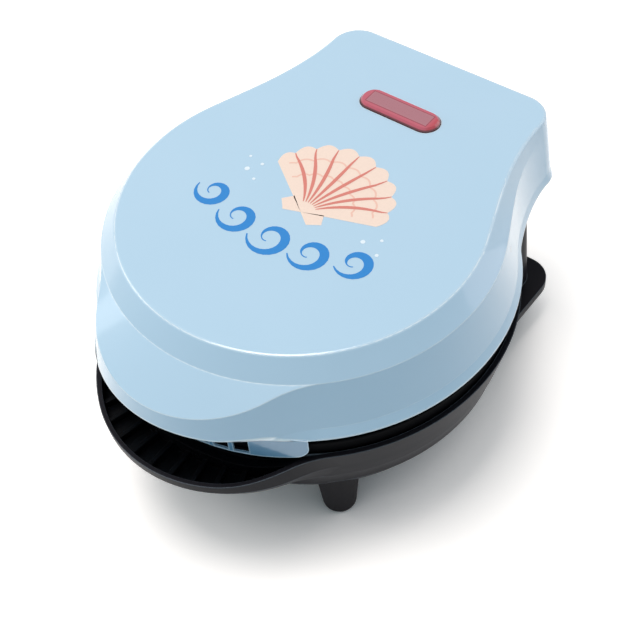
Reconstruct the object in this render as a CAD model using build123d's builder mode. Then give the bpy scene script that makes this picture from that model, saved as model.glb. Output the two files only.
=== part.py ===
from build123d import *
import os
from math import atan2, cos, degrees, radians, sin, sqrt

os.makedirs("parts", exist_ok=True)

# A small waffle maker with a round body, a rear hinge block and a visor handle.
# Millimetres. The origin is on the ground under the centre of the round body.
# +Z is up, -Y is the front with the handles, +Y is the rear with the hinge.

# Heights of the main levels
LID_TOP = 81.3
LID_BAND = 75.3
LID_LIP = 60.2
LID_EDGE = 56.9
BASE_RIM = 48.6
TRAY_RIM = 44.2
BASE_BOTTOM = 13.0
TAIL_TOP = 16.0

# Radii of the round body at those levels
LID_TOP_R = 53.5
LID_BAND_R = 58.5
LID_LIP_R = 62.0
LID_EDGE_R = 63.5
BASE_RIM_R = 63.7
WALL = 2.2

# Rear block and hinge
BLOCK_REAR = 76.6
HINGE_Y = 67.0
HINGE_Z = 53.0
PIN_R = 1.5
PIN_CLEARANCE = 0.06
LUG_R = 4.0
LUG_INNER_X = 22.0
LUG_THICK = 5.0
ARM_GAP = 0.4
ARM_THICK = 4.0

# Cooking plates
PLATE_R = 53.4
PLATE_GAP_LOW = 52.4
PLATE_GAP_HIGH = 53.2
CAVITY_DEPTH = 10.4
RIDGE_HEIGHT = 4.6
RIDGE_WIDTH = 2.6
RIDGE_PITCH = 13.0
FLANGE = 3.0
CAST_WALL = 3.4
PETALS = 5
PETAL_R = 19.0
PETAL_CENTRE_R = 25.0
PETAL_MIDDLE_R = 28.0
NOTCH_R = 3.0
CAVITY_DRAFT = 1.46

# Heaters
ELEMENT_R = 33.0
ELEMENT_TUBE_R = 3.1
GROOVE_WALL = 3.75
ELEMENT_LEG_X = 8.0
ELEMENT_LEG_END = 47.0
ELEMENT_BEND_R = 6.0

# Feet: front pair under the bowl, rear pair under the tail plate
FOOT_X = 34.0
FOOT_FRONT_Y = -34.0
FOOT_REAR_X = 33.0
FOOT_REAR_Y = 57.0


def polar(radius, angle, centre_y=0.0):
    """A point at an angle in degrees from +X, around a centre on the Y axis."""
    return (radius * cos(radians(angle)), centre_y + radius * sin(radians(angle)))


def lobe_arcs(radius, lobe_r, lobe_y, blend_r):
    """Draw the right half of the handle lobe and its hollow blend into the circle.

    The blend arc touches the lobe circle and the body circle from outside.
    Returns the angle at which the body circle takes over.
    """
    outer = radius + blend_r
    inner = lobe_r + blend_r
    blend_y = (outer**2 - inner**2 + lobe_y**2) / (2 * lobe_y)
    blend_x = sqrt(outer**2 - blend_y**2)
    body_angle = degrees(atan2(blend_y, blend_x))
    lobe_angle = degrees(atan2(blend_y - lobe_y, blend_x))
    start = (0, lobe_y - lobe_r)
    on_lobe = polar(lobe_r, lobe_angle, lobe_y)
    on_body = polar(radius, body_angle)
    ThreePointArc(start, polar(lobe_r, (lobe_angle - 90) / 2, lobe_y), on_lobe)
    middle = radians((body_angle + lobe_angle) / 2 + 180)
    hollow = (blend_x + blend_r * cos(middle), blend_y + blend_r * sin(middle))
    ThreePointArc(on_lobe, hollow, on_body)
    return body_angle


def plain_arcs(radius, first, second):
    """Draw the same stretch as two plain pieces of the body circle."""
    ThreePointArc((0, -radius), polar(radius, (first - 90) / 2), polar(radius, first))
    ThreePointArc(polar(radius, first), polar(radius, (first + second) / 2), polar(radius, second))
    return second


def body_outline(radius, flare, out_pull, in_pull, half_width, flare_y, rear_y, corner, lobe=None):
    """Draw the plan outline: front circle or lobe, hollow flare, rounded rear block.

    flare is the angle where the side leaves the circle. The flare is a cubic
    curve, tangent to the circle at one end and to the block's side at the other.
    """
    if lobe:
        angle = lobe_arcs(radius, *lobe)
    else:
        angle = plain_arcs(radius, -62.0, -46.0)
    leave = polar(radius, flare)
    ThreePointArc(polar(radius, angle), polar(radius, (angle + flare) / 2), leave)
    heading = (-sin(radians(flare)), cos(radians(flare)))
    first_pull = (leave[0] + out_pull * heading[0], leave[1] + out_pull * heading[1])
    Bezier(leave, first_pull, (half_width, flare_y - in_pull), (half_width, flare_y))
    side_end = (half_width, rear_y - corner)
    if flare_y < rear_y - corner:
        Line((half_width, flare_y), side_end)
    corner_mid = (
        half_width - corner + corner * cos(radians(45)),
        rear_y - corner + corner * sin(radians(45)),
    )
    ThreePointArc(side_end, corner_mid, (half_width - corner, rear_y))
    Line((half_width - corner, rear_y), (0, rear_y))
    mirror(about=Plane.YZ)


def base_outline(radius, lobe_r, lobe_y):
    """Draw the plan outline of the base bowl with its front handle lobe."""
    angle = lobe_arcs(radius, lobe_r, lobe_y, 40.0)
    ThreePointArc(polar(radius, angle), polar(radius, (angle + 90) / 2), (0, radius))
    mirror(about=Plane.YZ)


# Lid cover. Its side walls are straight between the levels below, with a small
# flared lip at the lower edge and a sloped band round the top face.
# level, radius, flare angle, pulls, half width, flare end, rear, corner, lobe radius
LID_LEVELS = [
    (LID_EDGE, LID_EDGE_R, 38.0, 3.0, 11.0, 41.6, 68.0, BLOCK_REAR, 7.0, 39.8),
    (LID_EDGE + 0.6, LID_EDGE_R, 38.0, 3.0, 11.0, 41.5, 68.0, BLOCK_REAR, 7.0, 39.6),
    (LID_LIP, LID_LIP_R, 35.0, 6.0, 12.0, 40.9, 68.0, 76.3, 7.3, 39.0),
    (LID_BAND, LID_BAND_R, 24.0, 18.0, 16.0, 39.2, 67.0, 76.2, 8.6, 36.3),
]
LOBE_Y = -34.1
LID_BLEND_R = 60.0
VISOR_SLOPE = 0.548
VISOR_RIB_STEP = 5.3
ARCH_HEIGHT = 5.7
ARCH_HALF = 34.0

with BuildPart() as lid_walls:
    for z, radius, flare, out_pull, in_pull, half, flare_y, rear, corner, lobe_r in LID_LEVELS:
        with BuildSketch(Plane.XY.offset(z)):
            with BuildLine():
                body_outline(
                    radius, flare, out_pull, in_pull, half, flare_y, rear, corner,
                    lobe=(lobe_r, LOBE_Y, LID_BLEND_R),
                )
            make_face()
    loft(ruled=True)

# The visor's top is a shallow cone that runs out from the band's lower edge.
with BuildPart() as visor_top:
    with BuildSketch(Plane.XZ):
        with BuildLine():
            Polyline(
                (LID_BAND_R + 0.05, LID_BAND),
                (LID_BAND_R + 0.05, LID_BAND + 6),
                (82, LID_BAND + 6),
                (82, LID_BAND - VISOR_SLOPE * (82 - LID_BAND_R)),
                close=True,
            )
        make_face()
    revolve(axis=Axis.Z, revolution_arc=360)
    split(bisect_by=Plane.XZ.offset(20), keep=Keep.TOP)

with BuildPart() as lid_band:
    with BuildSketch(Plane.XY.offset(LID_BAND)):
        with BuildLine():
            body_outline(LID_BAND_R, 24.0, 18.0, 16.0, 39.2, 67.0, 76.2, 8.6)
        make_face()
    with BuildSketch(Plane.XY.offset(LID_TOP)):
        with BuildLine():
            body_outline(LID_TOP_R, 15.0, 12.0, 22.0, 38.4, 66.0, 76.0, 9.2)
        make_face()
    loft(ruled=True)

# The hollow inside the lid follows the outside at one wall's distance.
with BuildPart() as lid_hollow:
    for z, radius, flare, out_pull, in_pull, half, flare_y, rear, corner in [
        (LID_EDGE - 0.1, LID_EDGE_R - WALL, 38.0, 3.0, 11.0, 39.4, 66.0, BLOCK_REAR - WALL, 5.0),
        (LID_LIP, LID_LIP_R - WALL, 35.0, 6.0, 12.0, 38.7, 66.0, 74.1, 5.3),
        (LID_BAND - 1.0, LID_BAND_R - WALL, 24.0, 18.0, 16.0, 37.0, 65.0, 73.8, 6.0),
        (LID_TOP - WALL, LID_TOP_R - 1.6, 15.0, 12.0, 22.0, 36.4, 64.0, 73.5, 6.0),
    ]:
        with BuildSketch(Plane.XY.offset(z)):
            with BuildLine():
                body_outline(radius, flare, out_pull, in_pull, half, flare_y, rear, corner)
            make_face()
    loft(ruled=True)

# The visor is hollow below, with thin ribs across the hollow.
with BuildPart() as visor_hollow:
    with BuildSketch(Plane.XY.offset(LID_EDGE - 1)):
        with Locations((0, LOBE_Y)):
            Circle(34.2)
        Circle(64.6, mode=Mode.SUBTRACT)
        for step in range(-5, 6):
            with Locations(Rotation(0, 0, step * VISOR_RIB_STEP)):
                with Locations((0, -68)):
                    Rectangle(1.4, 12, mode=Mode.SUBTRACT)
    extrude(amount=16)
    with BuildSketch(Plane.XZ) as cone_profile:
        with BuildLine():
            Polyline(
                (50, LID_BAND - WALL - VISOR_SLOPE * (50 - LID_BAND_R)),
                (50, LID_BAND + 12),
                (84, LID_BAND + 12),
                (84, LID_BAND - WALL - VISOR_SLOPE * (84 - LID_BAND_R)),
                close=True,
            )
        make_face()
    revolve(axis=Axis.Z, mode=Mode.SUBTRACT)

# The visor's lower edge arches up in the middle, to let the fingers in.
with BuildPart() as visor_arch:
    with BuildSketch(Plane.XZ.offset(44.0)):
        with BuildLine():
            Line((-ARCH_HALF, LID_EDGE - 2), (ARCH_HALF, LID_EDGE - 2))
            Line((ARCH_HALF, LID_EDGE - 2), (ARCH_HALF, LID_EDGE))
            ThreePointArc((ARCH_HALF, LID_EDGE), (0, LID_EDGE + ARCH_HEIGHT), (-ARCH_HALF, LID_EDGE))
            Line((-ARCH_HALF, LID_EDGE), (-ARCH_HALF, LID_EDGE - 2))
        make_face()
    extrude(amount=40)
    with BuildSketch(Plane.XY.offset(LID_EDGE - 3)):
        Circle(63.7)
    extrude(amount=12, mode=Mode.SUBTRACT)

LENS_Y = 48.6
LENS_LENGTH = 27.8
LENS_WIDTH = 9.0
LID_SCREWS = [(-23.9, -51.3), (23.9, -51.3), (-50.0, 26.6), (50.0, 26.6)]

with BuildPart() as lid_shell:
    add(lid_walls.part)
    add(visor_top.part, mode=Mode.SUBTRACT)
    add(lid_band.part)
    top_rim = faces().sort_by(Axis.Z)[-1].edges()
    fillet(top_rim, 0.9)
    add(lid_hollow.part, mode=Mode.SUBTRACT)
    add(visor_hollow.part, mode=Mode.SUBTRACT)
    add(visor_arch.part, mode=Mode.SUBTRACT)
    with BuildSketch(Plane.XY.offset(LID_TOP + 1)):
        with Locations((0, LENS_Y)):
            SlotOverall(LENS_LENGTH + 0.3, LENS_WIDTH + 0.3)
    extrude(amount=-6, mode=Mode.SUBTRACT)
    # Screw bosses hang from the roof and end above the bezel's deck.
    with BuildSketch(Plane.XY.offset(62.4)):
        with Locations(*LID_SCREWS):
            Circle(3.0)
    extrude(amount=8.6)
    with BuildSketch(Plane.XY.offset(62.4)):
        with Locations(*LID_SCREWS):
            Circle(1.3)
    extrude(amount=7.6, mode=Mode.SUBTRACT)
lid_shell.part.label = "lid_shell"
export_step(lid_shell.part, "parts/lid_shell.step")

# Finger grip: a curved strip under the lid's front edge, with windows between bars.
GRIP_INNER_R = 62.1
GRIP_OUTER_R = 63.7
GRIP_LOW = 50.7
GRIP_HALF_ANGLE = 37.8
GRIP_WINDOWS = 9
GRIP_RAIL = 0.6
with BuildPart() as finger_grip:
    with BuildSketch(Plane.XZ.rotated((0, 0, -90 - GRIP_HALF_ANGLE))):
        with Locations(((GRIP_INNER_R + GRIP_OUTER_R) / 2, GRIP_LOW)):
            Rectangle(
                GRIP_OUTER_R - GRIP_INNER_R, LID_EDGE - GRIP_LOW, align=(Align.CENTER, Align.MIN)
            )
    revolve(axis=Axis.Z, revolution_arc=2 * GRIP_HALF_ANGLE)
    end_faces = faces().filter_by(GeomType.PLANE).filter_by(Axis.Z, reverse=True)
    fillet(end_faces.edges().filter_by(GeomType.LINE).group_by(Axis.Z)[0], 3.6)
    for step in range(GRIP_WINDOWS):
        turn = -90 + (step - (GRIP_WINDOWS - 1) / 2) * VISOR_RIB_STEP
        with BuildSketch(Plane.YZ.rotated((0, 0, turn)).offset(60)):
            with Locations((0, GRIP_LOW + 1.1)):
                Rectangle(
                    4.5, LID_EDGE - GRIP_RAIL - GRIP_LOW - 1.1, align=(Align.CENTER, Align.MIN)
                )
        extrude(amount=8, mode=Mode.SUBTRACT)
finger_grip.part.label = "finger_grip"
export_step(finger_grip.part, "parts/finger_grip.step")

# Indicator lens: a stadium with a bevelled rim, hollow below, on a wider foot.
with BuildPart() as indicator_lens:
    with BuildSketch(Plane.XY.offset(LID_TOP - 3.1)):
        with Locations((0, LENS_Y)):
            SlotOverall(LENS_LENGTH + 3.0, LENS_WIDTH + 3.0)
    extrude(amount=0.9)
    with BuildSketch(Plane.XY.offset(LID_TOP - 3.1)):
        with Locations((0, LENS_Y)):
            SlotOverall(LENS_LENGTH, LENS_WIDTH)
    extrude(amount=4.3)
    chamfer(faces().sort_by(Axis.Z)[-1].edges(), 0.9)
    with BuildSketch(Plane.XY.offset(LID_TOP - 3.1)):
        with Locations((0, LENS_Y)):
            SlotOverall(LENS_LENGTH - 3.6, LENS_WIDTH - 3.6)
    extrude(amount=2.8, mode=Mode.SUBTRACT)
indicator_lens.part.label = "indicator_lens"
export_step(indicator_lens.part, "parts/indicator_lens.step")

# Lamp behind the lens: a small glass tube in a bracket, with its resistor.
LAMP_R = 1.7
LAMP_Z = 76.3
with BuildPart() as indicator_lamp:
    with BuildSketch(Plane.YZ.offset(-8)):
        with Locations((LENS_Y, LAMP_Z)):
            Circle(LAMP_R)
    extrude(amount=14)
    fillet(edges().sort_by(Axis.X)[-1], 1.4)
indicator_lamp.part.label = "indicator_lamp"
export_step(indicator_lamp.part, "parts/indicator_lamp.step")

HOLDER_LOW = 73.6
with BuildPart() as lamp_holder:
    with BuildSketch(Plane.XY.offset(HOLDER_LOW)):
        with Locations((0, LENS_Y)):
            SlotOverall(LENS_LENGTH + 1.0, LENS_WIDTH + 1.6)
    extrude(amount=LID_TOP - 3.2 - HOLDER_LOW)
    with BuildSketch(Plane.XY.offset(HOLDER_LOW + 0.9)):
        with Locations((0, LENS_Y)):
            SlotOverall(LENS_LENGTH - 2.0, LENS_WIDTH - 1.4)
    extrude(amount=10, mode=Mode.SUBTRACT)
    with BuildSketch(Plane.XY.offset(HOLDER_LOW + 0.9)):
        with Locations((-7, LENS_Y), (4, LENS_Y)):
            Rectangle(1.4, LENS_WIDTH - 0.6)
    extrude(amount=1.8)
    with BuildSketch(Plane.YZ.offset(-8.1)):
        with Locations((LENS_Y, LAMP_Z)):
            Circle(LAMP_R + 0.02)
    extrude(amount=14.3, mode=Mode.SUBTRACT)
lamp_holder.part.label = "lamp_holder"
export_step(lamp_holder.part, "parts/lamp_holder.step")

with BuildPart() as lamp_resistor:
    with BuildSketch(Plane.YZ.offset(8.2)):
        with Locations((LENS_Y, LAMP_Z - 0.6)):
            Circle(1.1)
    extrude(amount=3.6)
lamp_resistor.part.label = "lamp_resistor"
export_step(lamp_resistor.part, "parts/lamp_resistor.step")

# Cooking plates. Both are the same casting: the upper one is the lower one
# mirrored about the plane midway between them. The cavity is a five-petal
# blossom with drafted walls, crossed by a square grid of drafted ridges.
MIRROR_Z = (PLATE_GAP_LOW + PLATE_GAP_HIGH) / 2
CAVITY_FLOOR = PLATE_GAP_LOW - CAVITY_DEPTH
PLATE_BACK = CAVITY_FLOOR - CAST_WALL
FLANGE_BACK = PLATE_GAP_LOW - FLANGE
BOSS_ANGLES = [54, 126, 270]
BOSS_CENTRE_R = 45.4
TAB_TOP = 45.4
TAB_THICK = 2.0
CLIP_ANGLES = [30, 150, 270]
CLIP_SCREW_R = 24.0
THERMOSTAT_SCREW_X = 13.0
FUSE_Y = -16.5
BACK_SCREWS = [(-THERMOSTAT_SCREW_X, 0), (THERMOSTAT_SCREW_X, 0)] + [
    (CLIP_SCREW_R * cos(radians(angle)), CLIP_SCREW_R * sin(radians(angle)))
    for angle in CLIP_ANGLES
]


def blossom(petal_r, centre_r):
    """Draw the blossom outline from petals around a round middle."""
    with PolarLocations(PETAL_CENTRE_R, PETALS, start_angle=90):
        Circle(petal_r)
    Circle(centre_r)


with BuildPart() as cavity:
    with BuildSketch(Plane.XY.offset(PLATE_GAP_LOW)) as cavity_mouth:
        blossom(PETAL_R, PETAL_MIDDLE_R)
        fillet(cavity_mouth.vertices(), NOTCH_R)
    with BuildSketch(Plane.XY.offset(CAVITY_FLOOR)) as cavity_bottom:
        blossom(PETAL_R - CAVITY_DRAFT, PETAL_MIDDLE_R)
        fillet(cavity_bottom.vertices(), NOTCH_R + CAVITY_DRAFT)
    loft(ruled=True)

# The pocket cut from the casting leaves the ridges standing on its floor.
with BuildPart() as pocket:
    add(cavity.part)
    for plane in (Plane.XZ, Plane.YZ):
        with BuildSketch(plane):
            with GridLocations(RIDGE_PITCH, 1, 8, 1):
                with Locations((0, CAVITY_FLOOR - 0.5)):
                    Trapezoid(
                        RIDGE_WIDTH + 1.8, RIDGE_HEIGHT + 0.5, 80,
                        align=(Align.CENTER, Align.MIN),
                    )
        extrude(amount=60, both=True, mode=Mode.SUBTRACT)

with BuildPart() as heater_path:
    with BuildLine(Plane.XY.offset(PLATE_BACK - ELEMENT_TUBE_R)) as heater_line:
        bend_x = ELEMENT_LEG_X + ELEMENT_BEND_R
        bend_y = sqrt((ELEMENT_R + ELEMENT_BEND_R) ** 2 - bend_x**2)
        meet = degrees(atan2(bend_y, bend_x))
        turn = radians((180 + meet + 180) / 2)
        half_bend = (bend_x + ELEMENT_BEND_R * cos(turn), bend_y + ELEMENT_BEND_R * sin(turn))
        Line((ELEMENT_LEG_X, ELEMENT_LEG_END), (ELEMENT_LEG_X, bend_y))
        ThreePointArc((ELEMENT_LEG_X, bend_y), half_bend, polar(ELEMENT_R, meet))
        ThreePointArc(polar(ELEMENT_R, meet), (0, -ELEMENT_R), polar(ELEMENT_R, 180 - meet))
        ThreePointArc(
            polar(ELEMENT_R, 180 - meet), (-half_bend[0], half_bend[1]), (-ELEMENT_LEG_X, bend_y)
        )
        Line((-ELEMENT_LEG_X, bend_y), (-ELEMENT_LEG_X, ELEMENT_LEG_END))
    with BuildSketch(Plane((ELEMENT_LEG_X, ELEMENT_LEG_END, PLATE_BACK - ELEMENT_TUBE_R),
                           z_dir=(0, -1, 0))):
        Circle(ELEMENT_TUBE_R + 0.05)
    sweep()

with BuildPart() as lower_plate:
    with BuildSketch(Plane.XY.offset(FLANGE_BACK)):
        Circle(PLATE_R)
    extrude(amount=FLANGE)
    with BuildSketch(Plane.XY.offset(FLANGE_BACK + 0.2)) as shell_outline:
        blossom(PETAL_R + CAST_WALL, PETAL_MIDDLE_R + CAST_WALL)
        fillet(shell_outline.vertices(), 3.0)
    extrude(amount=-(FLANGE_BACK + 0.2 - PLATE_BACK), taper=6)
    # A raised ring on the back holds the heater in a half-round groove.
    with BuildSketch(Plane.XY.offset(PLATE_BACK - 2.6)):
        Circle(ELEMENT_R + GROOVE_WALL)
        Circle(ELEMENT_R - GROOVE_WALL, mode=Mode.SUBTRACT)
    extrude(amount=3.0)
    with BuildSketch(Plane.XY.offset(TAB_TOP + 0.1)):
        for angle in BOSS_ANGLES:
            with Locations(polar(BOSS_CENTRE_R, angle)):
                Circle(3.2)
    extrude(amount=FLANGE_BACK - TAB_TOP)
    add(heater_path.part, mode=Mode.SUBTRACT)
    add(pocket.part, mode=Mode.SUBTRACT)
    for angle in BOSS_ANGLES:
        with BuildSketch(Plane.XY.offset(TAB_TOP)):
            with Locations(polar(BOSS_CENTRE_R, angle)):
                Circle(1.3)
        extrude(amount=5.6, mode=Mode.SUBTRACT)
    # Blind holes in the back take the small screws of the clips and the thermostat.
    with BuildSketch(Plane.XY.offset(PLATE_BACK - 3)):
        with Locations(*BACK_SCREWS):
            Circle(1.1)
    extrude(amount=5.4, mode=Mode.SUBTRACT)
lower_plate.part.label = "lower_plate"
export_step(lower_plate.part, "parts/lower_plate.step")

# Heater: one sheathed tube bent to a ring, with two legs towards the hinge.
ELEMENT_Z = PLATE_BACK - ELEMENT_TUBE_R
with BuildPart() as lower_element:
    add(heater_line.line)
    with BuildSketch(Plane((ELEMENT_LEG_X, ELEMENT_LEG_END, ELEMENT_Z), z_dir=(0, -1, 0))):
        Circle(ELEMENT_TUBE_R)
    sweep()
lower_element.part.label = "lower_element"
export_step(lower_element.part, "parts/lower_element.step")

# A ceramic bead closes each end of the tube round the terminal pin.
with BuildPart() as lower_seals:
    with BuildSketch(Plane.XZ.offset(-ELEMENT_LEG_END)):
        with Locations((-ELEMENT_LEG_X, ELEMENT_Z), (ELEMENT_LEG_X, ELEMENT_Z)):
            Circle(2.6)
    extrude(amount=-3.0)
    with BuildSketch(Plane.XZ.offset(-ELEMENT_LEG_END)):
        with Locations((-ELEMENT_LEG_X, ELEMENT_Z), (ELEMENT_LEG_X, ELEMENT_Z)):
            Circle(1.1)
    extrude(amount=-3.0, mode=Mode.SUBTRACT)
lower_seals.part.label = "lower_seals"
export_step(lower_seals.part, "parts/lower_seals.step")

with BuildPart() as lower_terminals:
    with BuildSketch(Plane.XZ.offset(-ELEMENT_LEG_END)):
        with Locations((-ELEMENT_LEG_X, ELEMENT_Z), (ELEMENT_LEG_X, ELEMENT_Z)):
            Circle(1.05)
    extrude(amount=-5.0)
    with BuildSketch(Plane.XZ.offset(-ELEMENT_LEG_END - 3.6)):
        with Locations((-ELEMENT_LEG_X, ELEMENT_Z), (ELEMENT_LEG_X, ELEMENT_Z)):
            Rectangle(4.8, 0.8)
    extrude(amount=-5.4)
lower_terminals.part.label = "lower_terminals"
export_step(lower_terminals.part, "parts/lower_terminals.step")

# Straps of bent strip press the heater into its groove.
with BuildPart() as lower_clips:
    for angle in CLIP_ANGLES:
        with BuildSketch(Plane.XZ.rotated((0, 0, angle))):
            with BuildLine():
                Polyline(
                    (CLIP_SCREW_R - 3.4, PLATE_BACK - 0.5),
                    (ELEMENT_R - 5.2, PLATE_BACK - 0.5),
                    (ELEMENT_R - 2.6, ELEMENT_Z - ELEMENT_TUBE_R - 0.5),
                    (ELEMENT_R + 2.4, ELEMENT_Z - ELEMENT_TUBE_R - 0.5),
                    (ELEMENT_R + 4.0, PLATE_BACK - 3.2),
                )
            trace(line_width=0.8)
        extrude(amount=3.5, both=True)
    with BuildSketch(Plane.XY.offset(PLATE_BACK - 3)):
        with PolarLocations(CLIP_SCREW_R, 3, start_angle=CLIP_ANGLES[0]):
            Circle(1.3)
    extrude(amount=4, mode=Mode.SUBTRACT)
lower_clips.part.label = "lower_clips"
export_step(lower_clips.part, "parts/lower_clips.step")


def screw_row(points, seat, head_r, head_height, shank_r, shank_length):
    """Add pan-head screws whose heads sit below the seat height, pointing up."""
    with BuildSketch(Plane.XY.offset(seat - head_height)) as heads:
        with Locations(*points):
            Circle(head_r)
    extrude(heads.sketch, amount=head_height)
    with BuildSketch(Plane.XY.offset(seat - 0.01)) as shanks:
        with Locations(*points):
            Circle(shank_r)
    extrude(shanks.sketch, amount=shank_length)
    with BuildSketch(Plane.XY.offset(seat - head_height)) as crosses:
        with Locations(*points):
            Rectangle(head_r * 1.3, 0.6)
            Rectangle(0.6, head_r * 1.3)
    extrude(crosses.sketch, amount=head_height * 0.55, mode=Mode.SUBTRACT)


with BuildPart() as lower_clip_screws:
    clip_points = [
        (CLIP_SCREW_R * cos(radians(angle)), CLIP_SCREW_R * sin(radians(angle)))
        for angle in CLIP_ANGLES
    ]
    screw_row(clip_points, PLATE_BACK - 0.9, 2.2, 1.5, 1.08, 3.0)
lower_clip_screws.part.label = "lower_clip_screws"
export_step(lower_clip_screws.part, "parts/lower_clip_screws.step")

# Heat shield: a thin pan round the casting, with a notch at the rear for the
# heater's legs. Three ears bent in from its rim are clamped under the bezel's tabs.
PAN_FLANGE = TAB_TOP - TAB_THICK
PAN_FLOOR = 29.4
PAN_FLOOR_R = 47.6
PAN_RIM_R = 49.2
with BuildPart() as lower_reflector:
    with BuildSketch(Plane.XZ):
        with BuildLine():
            Polyline(
                (13.5, PAN_FLOOR),
                (PAN_FLOOR_R, PAN_FLOOR),
                (PAN_RIM_R, PAN_FLANGE - 0.2),
            )
        trace(line_width=0.7)
    revolve(axis=Axis.Z)
    with BuildSketch(Plane.XY.offset(PAN_FLANGE - 0.8)):
        for angle in BOSS_ANGLES:
            with Locations(polar(BOSS_CENTRE_R, angle)):
                Circle(3.4)
            with Locations(Location(polar(47.4, angle) + (0,), (0, 0, angle))):
                Rectangle(3.6, 6.8)
    extrude(amount=0.7)
    with BuildSketch(Plane.XZ.offset(-61.5)):
        with Locations((0, PAN_FLOOR + 4.1)):
            Rectangle(30.8, 14)
    extrude(amount=20, mode=Mode.SUBTRACT)
    with BuildSketch(Plane.XY.offset(PAN_FLANGE - 2)):
        with Locations(*[polar(BOSS_CENTRE_R, angle) for angle in BOSS_ANGLES]):
            Circle(1.7)
    extrude(amount=3, mode=Mode.SUBTRACT)
lower_reflector.part.label = "lower_reflector"
export_step(lower_reflector.part, "parts/lower_reflector.step")

with BuildPart() as lower_plate_screws:
    boss_points = [polar(BOSS_CENTRE_R, angle) for angle in BOSS_ANGLES]
    screw_row(boss_points, PAN_FLANGE - 0.85, 2.8, 1.9, 1.28, 7.6)
lower_plate_screws.part.label = "lower_plate_screws"
export_step(lower_plate_screws.part, "parts/lower_plate_screws.step")

# Thermostat on the back of the lower plate: a metal-capped disc in a body with
# two blade terminals, held by a flat bracket.
with BuildPart() as thermostat:
    with BuildSketch(Plane.XY.offset(PLATE_BACK - 3.4)):
        Circle(8.6)
    extrude(amount=3.3)
    fillet(edges().sort_by(Axis.Z)[-1], 0.6)
    with BuildSketch(Plane.XY.offset(PLATE_BACK - 9.2)):
        Circle(7.6)
    extrude(amount=6.0)
    with BuildSketch(Plane.XY.offset(PLATE_BACK - 15.6)):
        with Locations((-4.2, 0), (4.2, 0)):
            Rectangle(0.8, 4.8)
    extrude(amount=6.6)
thermostat.part.label = "thermostat"
export_step(thermostat.part, "parts/thermostat.step")

with BuildPart() as thermostat_bracket:
    with BuildSketch(Plane.XY.offset(PLATE_BACK - 4.3)):
        SlotOverall(2 * THERMOSTAT_SCREW_X + 8, 18.0)
        Circle(7.7, mode=Mode.SUBTRACT)
    extrude(amount=0.8)
    with BuildSketch(Plane.XY.offset(PLATE_BACK - 3.6)):
        with Locations((-THERMOSTAT_SCREW_X, 0), (THERMOSTAT_SCREW_X, 0)):
            Circle(2.6)
    extrude(amount=3.5)
    with BuildSketch(Plane.XY.offset(PLATE_BACK - 5)):
        with Locations((-THERMOSTAT_SCREW_X, 0), (THERMOSTAT_SCREW_X, 0)):
            Circle(1.3)
    extrude(amount=6, mode=Mode.SUBTRACT)
thermostat_bracket.part.label = "thermostat_bracket"
export_step(thermostat_bracket.part, "parts/thermostat_bracket.step")

with BuildPart() as thermostat_screws:
    bracket_points = [(-THERMOSTAT_SCREW_X, 0), (THERMOSTAT_SCREW_X, 0)]
    screw_row(bracket_points, PLATE_BACK - 4.4, 2.2, 1.5, 1.08, 6.4)
thermostat_screws.part.label = "thermostat_screws"
export_step(thermostat_screws.part, "parts/thermostat_screws.step")

# Thermal fuse: a small metal can in a woven sleeve, against the plate's back.
FUSE_Z = PLATE_BACK - 2.9
with BuildPart() as fuse_sleeve:
    with BuildSketch(Plane.YZ.offset(-11)):
        with Locations((FUSE_Y, FUSE_Z)):
            Circle(2.7)
            Circle(2.1, mode=Mode.SUBTRACT)
    extrude(amount=22)
fuse_sleeve.part.label = "fuse_sleeve"
export_step(fuse_sleeve.part, "parts/fuse_sleeve.step")

with BuildPart() as thermal_fuse:
    with BuildSketch(Plane.YZ.offset(-5.5)):
        with Locations((FUSE_Y, FUSE_Z)):
            Circle(2.0)
    extrude(amount=11)
    with BuildSketch(Plane.YZ.offset(-14)):
        with Locations((FUSE_Y, FUSE_Z)):
            Circle(0.5)
    extrude(amount=28)
thermal_fuse.part.label = "thermal_fuse"
export_step(thermal_fuse.part, "parts/thermal_fuse.step")

# The upper plate, its heater and its shield are the lower ones mirrored.
for upper, lower in (
    ("upper_plate", lower_plate),
    ("upper_element", lower_element),
    ("upper_seals", lower_seals),
    ("upper_terminals", lower_terminals),
    ("upper_clips", lower_clips),
    ("upper_clip_screws", lower_clip_screws),
    ("upper_reflector", lower_reflector),
    ("upper_plate_screws", lower_plate_screws),
):
    with BuildPart() as mirrored:
        add(lower.part)
        mirror(about=Plane.XY.offset(MIRROR_Z), mode=Mode.REPLACE)
    mirrored.part.label = upper
    export_step(mirrored.part, f"parts/{upper}.step")

# Bezel rings. Each has a skirt that shows between lid and base, a narrower
# spigot inside its cover, a ledge behind the plate's flange, and three tabs.
LEDGE_R = 50.8
PLATE_RECESS_R = 53.8
SPIGOT_LOW = 42.0
LID_SKIRT_R = 61.2
BASE_SKIRT_R = 61.6
LID_SKIRT_Z = 53.0
BASE_SKIRT_Z = 52.6
UPPER_LEDGE = 2 * MIRROR_Z - FLANGE_BACK + 0.1
UPPER_TAB = 2 * MIRROR_Z - TAB_TOP
LEAD_SLOT_X = 16.0


def tab_outline():
    """Draw the three tabs that reach in from the ring to the plate's bosses."""
    for angle in BOSS_ANGLES:
        with Locations(polar(BOSS_CENTRE_R, angle)):
            Circle(4.2)
        with Locations(Location(polar(49.1, angle) + (0,), (0, 0, angle))):
            Rectangle(7.4, 8.4)


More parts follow.
